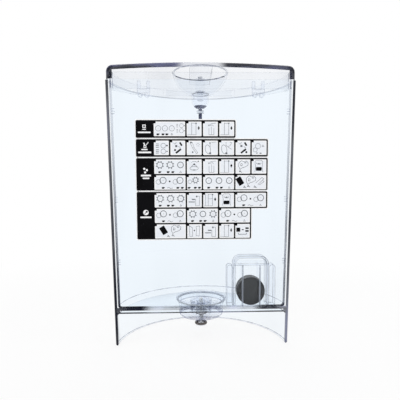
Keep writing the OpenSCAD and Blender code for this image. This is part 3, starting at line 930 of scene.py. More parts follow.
@dataclass
class Outlet:
    """The round well with its collar and spout, its seals, and the sprung valve inside."""

    d: float = 35.5
    collar_r: float = 27.6
    well_r: float = 24.6
    neck_r: float = 25.0
    bore_r: float = 22.4
    top: float = 41.2
    collar_z: float = 39.0
    shoulder_z: float = 33.5
    well_z: float = 20.0
    seat_z: float = 22.2
    spout_r: float = 5.6
    spout_bore: float = 3.0
    spout_z: float = 8.4
    groove_z: tuple[float, float] = (9.8, 12.4)
    groove_r: float = 4.6
    coil_r: float = 4.4
    wire_r: float = 0.4
    coil_turns: int = 5
    turn_steps: int = 28
    coil_z: tuple[float, float] = (25.8, 35.4)
    lift: float = 3.5
    lift_spare: float = 0.1

    def build(self) -> None:
        """Makes the well, dresses the seals and valve, and winds the spring."""
        self.well()
        self.seals()
        self.valve()
        self.spring()

    def well(self) -> None:
        """Collar, well and spout, turned in one piece."""
        low, high = self.groove_z
        profile = (
            (self.spout_bore, self.spout_z), (self.spout_r, self.spout_z), (self.spout_r, low),
            (self.groove_r, low), (self.groove_r, high), (self.spout_r, high),
            (self.spout_r, self.well_z), (self.well_r - 6, self.well_z), (self.well_r - 2.2, self.well_z + 0.9),
            (self.well_r - 0.6, self.well_z + 2.6), (self.well_r, self.well_z + 4.6),
            (self.well_r, self.shoulder_z), (self.neck_r, self.shoulder_z + 0.4),
            (self.neck_r, self.collar_z), (self.collar_r, self.collar_z), (self.collar_r, self.top),
            (self.bore_r, self.top), (self.bore_r, self.seat_z + 4), (self.bore_r - 0.8, self.seat_z + 1.6),
            (self.bore_r - 3.4, self.seat_z), (self.spout_bore, self.seat_z),
        )
        work = turned("outlet_well_turned", (Finish.PART, Finish.LINE), profile, self.d, 128)
        # Painted shade: the rounded edges and the well's lower rounding take the dark line finish.
        work.ease(0.55, 1, 3, 40)
        low, high = self.well_z * MM, (self.well_z + 4.5) * MM
        reach = (self.well_r - 2.4) * MM
        axis = spot(0, self.d, 0)
        work.paint(1, lambda f: low < middle(f).z < high and (middle(f) - axis).xy.length > reach)
        work.finish("tank", "clear_parts", "outlet_well")

    def seals(self) -> None:
        """The spout's ring, the flat ring under the collar and the washer under the poppet."""
        for name, finish, profile, steps, body, slot, node in (
            ("spout_ring", Finish.RUBBER,
             ((4.65, 9.95), (6.2, 9.9), (6.65, 10.2), (6.8, 10.7), (6.8, 11.5), (6.65, 12.0), (6.2, 12.3),
              (4.65, 12.25)),
             72, "tank", "rubber", "spout_seal"),
            ("collar_gasket", Finish.SEAL, ((25.1, 37.8), (27.0, 37.8), (27.2, 38.1), (27.2, 38.7), (27.0, 39.0),
                                            (25.1, 39.0)), 96, "tank", "seal_pale", "well_seal"),
            ("poppet_washer", Finish.RUBBER, ((3.4, 22.3), (6.5, 22.3), (6.8, 22.6), (6.8, 23.1), (6.5, 23.4),
                                              (3.4, 23.4)), 64, "poppet", "rubber", "poppet_seal"),
        ):
            turned(name, (finish,), profile, self.d, steps).finish(body, slot, node, angle=50)

    def valve(self) -> None:
        """Cage, cap and poppet with rounded edges."""
        # The cage's and cap's rounded edges carry the painted-shade line.
        clear = (Finish.PART, Finish.LINE)
        for name, look, node, width, slot, body, record_slot in (
            ("valve_cage_ribs", clear, "valve_cage", 0.2, 1, "tank", "clear_parts"),
            ("valve_cap_disc", clear, "valve_cap", 0.2, 1, "tank", "clear_parts"),
            ("poppet_moulding", (Finish.VALVE,), "valve_poppet", 0.15, 0, "poppet", "valve_white"),
        ):
            from_node(name, look, node).ease(width, slot, 2, 40).finish(body, record_slot, node)

    def spring(self) -> None:
        """The coil, wound by a screw from the wire's section."""
        Work.clear()
        low, high = self.coil_z
        bpy.ops.mesh.primitive_circle_add(
            vertices=12, radius=self.wire_r * MM, fill_type="NOTHING", location=spot(self.coil_r, self.d, low),
            rotation=LYING,
        )
        work = Work("poppet_spring", (Finish.STEEL,)).seat()
        bpy.context.scene.cursor.location = spot(0, self.d, 0)
        bpy.ops.object.origin_set(type="ORIGIN_CURSOR")
        steps = self.turn_steps * self.coil_turns
        work.modify(
            "SCREW", angle=2 * math.pi * self.coil_turns, screw_offset=(high - low) * MM, steps=steps,
            render_steps=steps, use_merge_vertices=False,
        )
        work.pick(Kind.EDGES, lambda e: e.is_boundary)
        bpy.ops.mesh.edge_face_add()
        work.tidy().finish("tank", "spring_steel", "valve_spring", angle=60)
        anchor = tuple(spot(0, self.d, high + self.wire_r))
        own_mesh(work.obj)


# ---------------------------------------------------------------- float


@dataclass
class FloatUnit:
    """The grey float, its clear cage and the two rails beside it."""

    x: float = 52.0
    r: float = 15.0
    d0: float = 9.5
    d1: float = 21.5
    z: float = 53.2
    cage_in: float = 16.2
    cage_out: float = 18.6
    cage_d0: float = 8.3
    cage_d1: float = 22.7
    arch_top: float = 90.8
    arch_round: float = 8.5
    bar_x: float = 9.1
    bar_w: float = 1.6
    bar_t: float = 1.8
    bar_top: float = 81.8
    rail_w: float = 7.0
    rail_d: float = 11.0
    rail_h: float = 44.0
    fit: float = 0.15

    def build(self) -> None:
        """Makes cage, rails and float."""
        self.cage()
        self.rails()
        self.float_halves()

    def cage(self) -> None:
        """An arch with two bars in front, two behind and a cross bar on each face."""
        look = (Finish.PART, Finish.PALE_LINE, Finish.LINE_DARK)
        thick = self.cage_out - self.cage_in
        outer = self.arch("float_arch", look, self.cage_out, self.arch_top, self.arch_round, 0.0)
        inner = self.arch("arch_room", look, self.cage_in, self.arch_top - thick, self.arch_round - thick, 1.0)
        outer.combine("DIFFERENCE", inner)
        # The arch's rounded edges carry the pale painted shading: painted light over the float, faint painted shade
        # elsewhere.
        outer.ease(0.55, 1, 3)
        # Painted shade on the arch's front shoulder.
        shoulder = spot(self.x + 6, self.cage_d0 + 2.725, self.arch_top - 12)
        outer.paint(2, lambda f: f.material_index == 1 and middle(f).x > shoulder.x
                    and middle(f).z > shoulder.z and middle(f).y < shoulder.y)
        bars = []
        # The front bars' rounded edges take the pale painted shading; the back bars' stay clear.
        for d, slot in ((self.cage_d0 - self.bar_t, 1), (self.cage_d1, 0)):
            bar = block(
                "cross_bar", look, (self.x - self.cage_out, d, self.bar_top - 0.5),
                (self.x + self.cage_out, d + self.bar_t, self.bar_top + 1.5),
            )
            bars.append(bar.ease(0.4, slot, 2))
            for x in (self.x - self.bar_x, self.x + self.bar_x):
                bar = block(
                    "front_bar", look, (x - self.bar_w / 2, d, FORM.floor_z),
                    (x + self.bar_w / 2, d + self.bar_t, self.bar_top),
                )
                bars.append(bar.ease(0.6, slot, 3))
        outer.join(*bars)
        outer.finish("tank", "clear_parts", "float_cage")

    def arch(self, name: str, look: Sequence[Finish], half: float, top: float, radius: float, extra: float) -> Work:
        """A block with two rounded top edges.

        Args:
            name: The piece's name.
            look: Its material slots.
            half: Half its width.
            top: Height of its top.
            radius: Radius of the two edges.
            extra: How far it runs past the cage's faces and foot.

        Returns:
            The piece.
        """
        work = block(
            name, look, (self.x - half, self.cage_d0 - extra, FORM.floor_z - extra),
            (self.x + half, self.cage_d1 + extra, top),
        )
        work.bevel(radius, 10, -1, lambda e: level(e, 1) and flush(e, 2, top * MM))
        work.clear()
        return work

    def rails(self) -> None:
        """Two pillars with round tops, the second mirrored from the first."""
        reach = self.cage_out + self.fit
        top = FORM.floor_z + self.rail_h
        left = block(
            "float_rail_near", (Finish.PART, Finish.PALE_LINE),
            (self.x - reach - self.rail_w, self.cage_d0, FORM.floor_z),
            (self.x - reach, self.cage_d0 + self.rail_d, top),
        )
        left.bevel(self.rail_w / 2 - 0.05, 8, -1, lambda e: level(e, 1) and flush(e, 2, top * MM))
        # The rounded edges carry the pale painted shading, painted light over dark parts.
        left.ease(0.6, 1, 4)
        right = left.copy("float_rail_far", mirror_x=self.x)
        left.finish("tank", "clear_parts", "float_rail_left")
        right.finish("tank", "clear_parts", "float_rail_right")

    def float_halves(self) -> None:
        """Two shells with a seam between them, a shallow dish in the front one, and the magnet."""
        seam = (self.d0 + self.d1) / 2
        rim = (self.r - 0.1) * MM
        axis = spot(self.x, 0, self.z)
        for name, d0, d1, face_d, node in (
            ("float_shell_front", self.d0, seam, self.d0, "float_front"),
            ("float_shell_back", seam, self.d1, self.d1, "float_back"),
        ):
            half = rod(name, (Finish.FLOAT,), (self.x, self.z), (d0, d1), self.r, 96)
            if d0 < seam:
                half.pick(Kind.FACES, lambda f: f.normal.y < -0.9)
                bpy.ops.mesh.inset(thickness=1.1 * MM)
                bpy.ops.mesh.inset(thickness=0.5 * MM, depth=-0.4 * MM)
            for d, width, steps in ((face_d, 0.6, 3), (seam, 0.25, 2)):
                y = spot(0, d, 0).y
                half.bevel(width, steps, -1, lambda e: flush(e, 1, y) and all(
                    (v.co - axis).xz.length > rim for v in e.verts))
            half.finish("float", "float_grey", node)
        dress(frame["nodes"]["float_magnet"], Finish.MAGNET)


# ---------------------------------------------------------------- lid


@dataclass
class Lid:
    """Cover, plug, finger bowl, grip bar, stud, hanging cup and clips."""

    low: float = 269.8
    crown_z: float = 287.1
    crown: float = 3.4
    skin: float = 2.6
    edge: float = 5.8
    inner_edge: float = 3.4
    plug_low: float = 261.3
    plug_gap: float = 0.45
    plug_t: float = 2.2
    plug_rise: float = 7.5
    rib_w: float = 83.0
    rib_t: float = 1.5
    bowl_d: float = 34.0
    bowl_r: float = 30.0
    base_r: float = 13.2
    bowl_t: float = 2.2
    bowl_z: float = 262.5
    stud_hole: float = 3.15
    cup_r: float = 9.2
    cup_t: float = 1.6
    cup_l: float = 16.0
    stem_r: float = 1.85
    stem_l: float = 16.0
    grid: float = 10.0

    @property
    def crown_r(self) -> float:
        """Radius of the crowned top."""
        side = math.sqrt(FORM.rim_r**2 - FORM.axis_out**2)
        return (side**2 + self.crown**2) / (2 * self.crown)

    @property
    def mouth_z(self) -> float:
        """Height of the bowl's mouth."""
        return self.crown_z - (self.bowl_d + self.bowl_r + FORM.axis_out) ** 2 / (2 * self.crown_r) - 0.3

    @property
    def ball_z(self) -> float:
        """Height of the centre of the ball that the bowl is part of."""
        mouth, base = self.mouth_z, self.bowl_z
        return (self.bowl_r**2 + mouth**2 - self.base_r**2 - base**2) / (2 * (mouth - base))

    def build(self) -> None:
        """Makes every piece of the lid."""
        self.cover()
        self.plug()
        self.bowl()
        self.grip()
        self.cup()
        self.clips()

    def crowned(self, name: str, finishes: Sequence[Finish], inset: float, low: float, edge: float, slot: int) -> Work:
        """A solid D with a crowned top and rounded top edges.

        Args:
            name: The piece's name.
            finishes: Its material slots.
            inset: How far it is set in from the lid's outer faces.
            low: Height of its underside.
            edge: Width of its rounded edges.
            slot: Material slot of the rounded edges.

        Returns:
            The piece.
        """
        side_z = self.crown_z - self.crown - inset
        r = FORM.rim_r - inset
        work = FORM.d_block(name, finishes, low, side_z, (r, r), inset, edge + 1.7, slot)
        work.bevel(edge, 6, slot, lambda e: flush(e, 2, side_z * MM))
        for step in range(-9, 10):
            work.slice(spot(step * self.grid, 0, 0), SIDEWAYS)
        for step in range(1, 10):
            work.slice(spot(0, step * self.grid, 0), BACKWARDS)
        skirt = (side_z - edge - 0.5) * MM
        work.pick(Kind.VERTS, lambda v: v.co.z < skirt)
        bpy.ops.mesh.hide(unselected=False)
        peak = spot(0, self.grid, side_z)
        work.pick(Kind.VERTS, lambda v: (v.co - peak).length < 1e-5)
        bpy.ops.transform.translate(
            value=(0.0, 0.0, self.crown * MM), use_proportional_edit=True,
            proportional_edit_falloff="INVERSE_SQUARE", proportional_size=r * MM,
        )
        bpy.ops.mesh.reveal(select=False)
        work.clear()
        return work

    def cover(self) -> None:
        """The crowned cover, hollow below, with the round hole for the bowl."""
        look = (Finish.LID, Finish.LID_EDGE)
        # The lid's rounded top edges carry painted shade with painted highlights; the back ones are made clear again.
        work = self.crowned("lid_top", look, 0.0, self.low, self.edge, 1)
        work.paint(0, lambda f: f.material_index == 1 and middle(f).y > BEHIND)
        work.clear()
        room = self.crowned("lid_room", look, self.skin, self.low - 1, self.inner_edge, 0)
        hole_r, low, high = self.bowl_r + 0.15, self.low - 5, self.crown_z + 5
        hole = turned("lid_hole", look, ((0, low), (hole_r, low), (hole_r, high), (0, high)), self.bowl_d, 128)
        work.combine("DIFFERENCE", room, hole)
        work.finish("lid", "clear_lid", "lid_cover")

    def plug(self) -> None:
        """The ring inside the tank's mouth, its lower edge rising to the back, with its rib."""
        look = (Finish.LID, Finish.LINE)
        r = FORM.radius_at(self.plug_low) - FORM.wall - self.plug_gap
        thin = r - self.plug_t
        front = FORM.wall + self.plug_gap
        top = self.low + self.plug_rise
        work = FORM.d_block("lid_ring", look, self.plug_low, top, (r, r), front, 2.2)
        work.combine("DIFFERENCE", FORM.d_block(
            "ring_room", look, self.plug_low - 1, top + 1, (thin, thin), front + self.plug_t, 1.2
        ))
        half = self.rib_w / 2
        rib_d = math.sqrt(thin**2 - half**2) - FORM.axis_out
        work.combine("UNION", block(
            "rear_rib", look, (-half - 0.5, rib_d - 0.5, self.low), (half + 0.5, rib_d + self.rib_t, top)
        ))
        start = spot(0, front, self.plug_low)
        run = spot(0, FORM.rim_r - FORM.axis_out - FORM.wall, FORM.height) - start
        work.slice(start, (0.0, -run.z, run.y), True)
        # The rounded edges carry the painted-shade line.
        work.tidy().ease(0.5, 1, 3, 40).finish("lid", "clear_lid", "lid_plug")

    def bowl(self) -> None:
        """The finger bowl, turned with a rounded lip and a flat bottom."""
        def ball(z: float, radius: float) -> float:
            """Radius of the ball's section at a height."""
            return math.sqrt(radius**2 - (z - self.ball_z) ** 2)

        radius = math.sqrt(self.bowl_r**2 + (self.mouth_z - self.ball_z) ** 2)
        steps = 10
        heights = [self.bowl_z + (self.mouth_z - self.bowl_z) * (i / steps) ** 1.5 for i in range(steps + 1)]
        thin = radius - self.bowl_t
        floor = self.bowl_z + self.bowl_t
        profile = [
            (self.stud_hole, self.bowl_z), *[(ball(z, radius), z) for z in heights],
            *[(ball(z, thin), z) for z in reversed(heights) if z > floor + 0.4],
            (ball(floor + 0.1, thin) - 0.4, floor), (self.stud_hole, floor),
        ]
        work = turned("finger_bowl", (Finish.LID, Finish.LINE_DARK, Finish.PALE_LINE), profile, self.bowl_d, 128)
        # Painted shade on the rounded lip, with the pale painted shading on its near half.
        work.ease(0.8, 1, 3, 40)
        near = spot(0, self.bowl_d + 12, 0).y
        work.paint(2, lambda f: f.material_index == 1 and middle(f).y < near)
        work.finish("lid", "clear_lid", "grip_bowl")

    def grip(self) -> None:
        """The bar across the bowl and the pillar under it."""
        look = (Finish.LID, Finish.LINE_DARK)
        # The bar's and the stud's rounded edges carry the dark painted-shade line.
        from_node("grip_bar_moulding", look, "grip_bar").ease(1.1, 1, 3, 40).finish("lid", "clear_lid", "grip_bar")
        foot, seat, low = self.bowl_z - 7, self.bowl_z + self.bowl_t, self.mouth_z - 7.0
        profile = (
            (0, foot), (3, foot), (3, seat), (5.2, seat), (5.2, low), (2.3, low), (2.3, low + 2.1), (0, low + 2.1)
        )
        stud = turned("bowl_stud", look, profile, self.bowl_d, 48)
        stud.ease(0.3, 1, 2, 40).finish("lid", "clear_parts", "grip_stud")

    def cup(self) -> None:
        """The hanging cup with its round bottom and thin stem."""
        bottom = self.bowl_z - self.cup_l
        centre = bottom + self.cup_r
        inside = self.cup_r - self.cup_t
        ring = self.stem_r + 2
        arc = [math.radians(a) for a in range(14, 91, 9)]
        outer = [(self.cup_r * math.sin(a), centre - self.cup_r * math.cos(a)) for a in arc]
        inner = [(inside * math.sin(a), centre - inside * math.cos(a)) for a in reversed(arc)]
        profile = (
            (0, bottom - self.stem_l), (self.stem_r, bottom - self.stem_l), (self.stem_r, bottom - 4.2),
            (ring, bottom - 4.2), (ring, bottom - 1.6), (self.stem_r, bottom - 1.6),
            (self.stem_r, bottom + 0.2), *outer, (self.cup_r, self.bowl_z), (inside, self.bowl_z), *inner,
            (0, bottom + self.cup_t),
        )
        cup = turned("cup_turned", (Finish.PART, Finish.LINE_DARK), profile, self.bowl_d, 64)
        # Painted shade on the rounded edges, the stem and the cup's rounded bottom.
        cup.ease(0.35, 1, 2, 40)
        axis, low = spot(0, self.bowl_d, 0), bottom * MM

        def dark(f: bmesh.types.BMFace) -> bool:
            """True for the stem and the cup's rounded bottom, which get painted shade."""
            c = middle(f)
            out = (c - axis).xy.length
            return out < 0.00195 and c.z < low or 0.003 < out < 0.0082 and low < c.z < low + 0.0028

        cup.paint(1, dark)
        cup.finish("lid", "clear_parts", "hanging_cup")

    def clips(self) -> None:
        """Both clips, with their thin edges rounded."""
        for side in ("left", "right"):
            clip = from_node(f"clip_{side}", (Finish.PART, Finish.LINE), f"lid_clip_{side}")
            # The rounded edges carry the painted-shade line.
            clip.ease(0.25, 1, 2, 40).finish("lid", "clear_parts", f"lid_clip_{side}")


# ---------------------------------------------------------------- label


class Sheet:
    """One layer of flat shapes at one depth of the label, added in edit mode and then given its thickness."""

    def __init__(self, name: str, finish: Finish, depth: float, thickness: float) -> None:
        """Starts an empty layer.

        Args:
            name: The piece's name.
            finish: Its finish.
            depth: How far its front stands before the flat wall, in mm.
            thickness: Its thickness, in mm.
        """
        Work.clear()
        bpy.context.tool_settings.mesh_select_mode = Kind.FACES.value
        self.depth = depth
        self.thickness = thickness
        bpy.ops.mesh.primitive_plane_add(size=MM, location=(0.0, 0.0, 0.0))
        self.work = Work(name, (finish,))
        self.work.all()
        bpy.ops.mesh.delete(type="VERT")

    def open(self) -> None:
        """Opens the layer in edit mode with nothing picked."""
        self.work.edit()
        bpy.context.tool_settings.mesh_select_mode = Kind.VERTS.value

    def at(self, x: float, z: float) -> tuple:
        """A point on the layer's front."""
        return tuple(spot(x, -self.depth, z))

    def disc(self, x: float, z: float, r: float, sides: int = 14, turn: float = 0.0) -> None:
        """A filled circle or polygon.

        Args:
            x: Its centre.
            z: Its centre.
            r: Its radius.
            sides: Its sides.
            turn: How far it is turned, in radians.
        """
        self.open()
        bpy.ops.mesh.primitive_circle_add(
            vertices=sides, radius=r * MM, fill_type="NGON", location=self.at(x, z), rotation=(LYING[0], turn, 0.0)
        )

    def ring(self, x: float, z: float, r: float, width: float, sides: int = 24, turn: float = 0.0) -> None:
        """The outline of a disc, with the line's width."""
        self.disc(x, z, r, sides, turn)
        bpy.ops.mesh.inset(thickness=width * MM)
        bpy.ops.mesh.delete(type="FACE")

    def plate(self, x: float, z: float, width: float, height: float) -> tuple:
        """Adds a rectangle and returns its centre, in metres."""
        self.open()
        centre = self.at(x, z)
        bpy.ops.mesh.primitive_plane_add(size=1.0, location=centre, rotation=LYING)
        bpy.ops.transform.resize(value=(width * MM, 1.0, height * MM), center_override=centre)
        return centre

    def box(self, x0: float, z0: float, x1: float, z1: float, corner: float = 0.0) -> None:
        """A filled rectangle between two corners, which are rounded where asked."""
        self.plate((x0 + x1) / 2, (z0 + z1) / 2, x1 - x0, z1 - z0)
        if corner > 0:
            bpy.ops.mesh.bevel(offset=corner * MM, segments=4, affect="VERTICES", clamp_overlap=False)

    def line(self, x0: float, z0: float, x1: float, z1: float, width: float) -> None:
        """A straight stroke of a width between two points."""
        turn = math.atan2(z1 - z0, x1 - x0)
        centre = self.plate((x0 + x1) / 2, (z0 + z1) / 2, math.hypot(x1 - x0, z1 - z0), width)
        if abs(turn) > 1e-4:
            bpy.ops.transform.rotate(value=turn, orient_axis="Y", center_override=centre)

    def close(self, *nodes: str) -> None:
        """Gives the layer its thickness and puts it on the tank, for the CAD nodes that it stands for."""
        self.work.clear()
        self.work.modify("SOLIDIFY", thickness=self.thickness * MM, offset=-1.0)
        self.work.finish("tank", "label_film", *nodes)


class Mark(Enum):
    """What one step of a picture draws, in mm right of and below its corner."""

    LINE = "grey line: width, then points"
    GREY = "grey block: its centre, width and height"
    DOT = "black dot: its centre, radius and sides"
    BAR = "black stroke: its two ends and its width"
    BLACK = "black block: two corners and their rounding"
    RING = "grey ring: its centre, radius, line width and sides"
    PART = "another picture: its name and place"


LINE, GREY, DOT, BAR, BLACK, RING, PART = Mark
Step = tuple[Any, ...]
Steps = tuple[Step, ...]


def oval(u: float, v: float, half: tuple[float, float], lean: tuple[float, float], steps: int) -> Steps:
    """A leaning oval's outline.

    Args:
        u: Its centre.
        v: Its centre.
        half: Half its width and half its height.
        lean: How far its top leans across and its side leans down.
        steps: Its sides.

    Returns:
        One step.
    """
    turns = [(math.cos(math.tau * i / steps), math.sin(math.tau * i / steps)) for i in range(steps + 1)]
    return ((LINE, 0.34, *[(u + half[0] * c + lean[0] * s, v + half[1] * s - lean[1] * c) for c, s in turns]),)


def rays(u: float, v: float, near: float, far: float, count: int, width: float) -> Steps:
    """Short lines that point away from a place, from near to far."""
    first = math.pi / 8 if count == 8 else 0.0
    turns = [(math.cos(math.tau * i / count + first), math.sin(math.tau * i / count + first)) for i in range(count)]
    return tuple((LINE, width, (u + c * near, v + s * near), (u + c * far, v + s * far)) for c, s in turns)


def hatch(u: float, v: float, pitch: float, width: float, height: float) -> Steps:
    """Three grey blocks over each other."""
    return tuple((GREY, u, v + i * pitch, width, height) for i in (-1, 0, 1))


def cups(*places: float) -> Steps:
    """Black cups in a row."""
    return tuple((PART, "cup", u, 12.5) for u in places)


class Dial(Enum):
    """The dials that the label's rows use, each with its letter."""

    PLAIN = "o"
    RAYED = "r"
    PAIR = "p"


def dial(u: float, v: float, kind: Dial, r: float = 3.1) -> Steps:
    """A dial, plain, with eight rays, or with a second dial behind it.

    Args:
        u: Its centre.
        v: Its centre.
        kind: Which dial.
        r: Its radius.

    Returns:
        Its steps.
    """
    steps: Steps = ()
    if kind is Dial.PAIR:
        steps = ((RING, u - 4.6, v + 1.5, r - 0.6, 0.3), (GREY, u - 2.9, v - 0.6, 0.9, 0.8),
                 (GREY, u - 2.4, v + 1.9, 0.9, 0.8))
        r += 0.25
    steps += ((RING, u, v, r + 0.1, 0.62), (GREY, u, v, 1.0, 0.22))
    return steps + rays(u, v, r + 0.15, r + 1.0, 8, 0.75) if kind is Dial.RAYED else steps


def dials(kinds: str, places: Sequence[float], cone: bool = True, dot: bool = False) -> Steps:
    """A wide cell with dials over cups.

    Args:
        kinds: The letters of the dials from left to right.
        places: Places of the cups.
        cone: Adds the triangle under the last dial.
        dot: Adds the dot between two pairs and the trail below it.

    Returns:
        Its steps.
    """
    across = (8.6, 25.5) if len(kinds) == 2 else (5.6, 15.9, 26.2)
    steps: Steps = ()
    for u, kind in zip(across, map(Dial, kinds)):
        steps += dial(u, 5.0 if kind is Dial.PAIR else 5.4, kind)
    steps += cups(*places)
    if cone:
        steps += ((PART, "cone", across[-1], 12.3),)
    if dot:
        steps += ((DOT, 15.2, 6.0, 0.85), (LINE, 0.4, (12.6, 12.6), (14.4, 12.0), (16.0, 13.2), (18.2, 12.6)))
    return steps


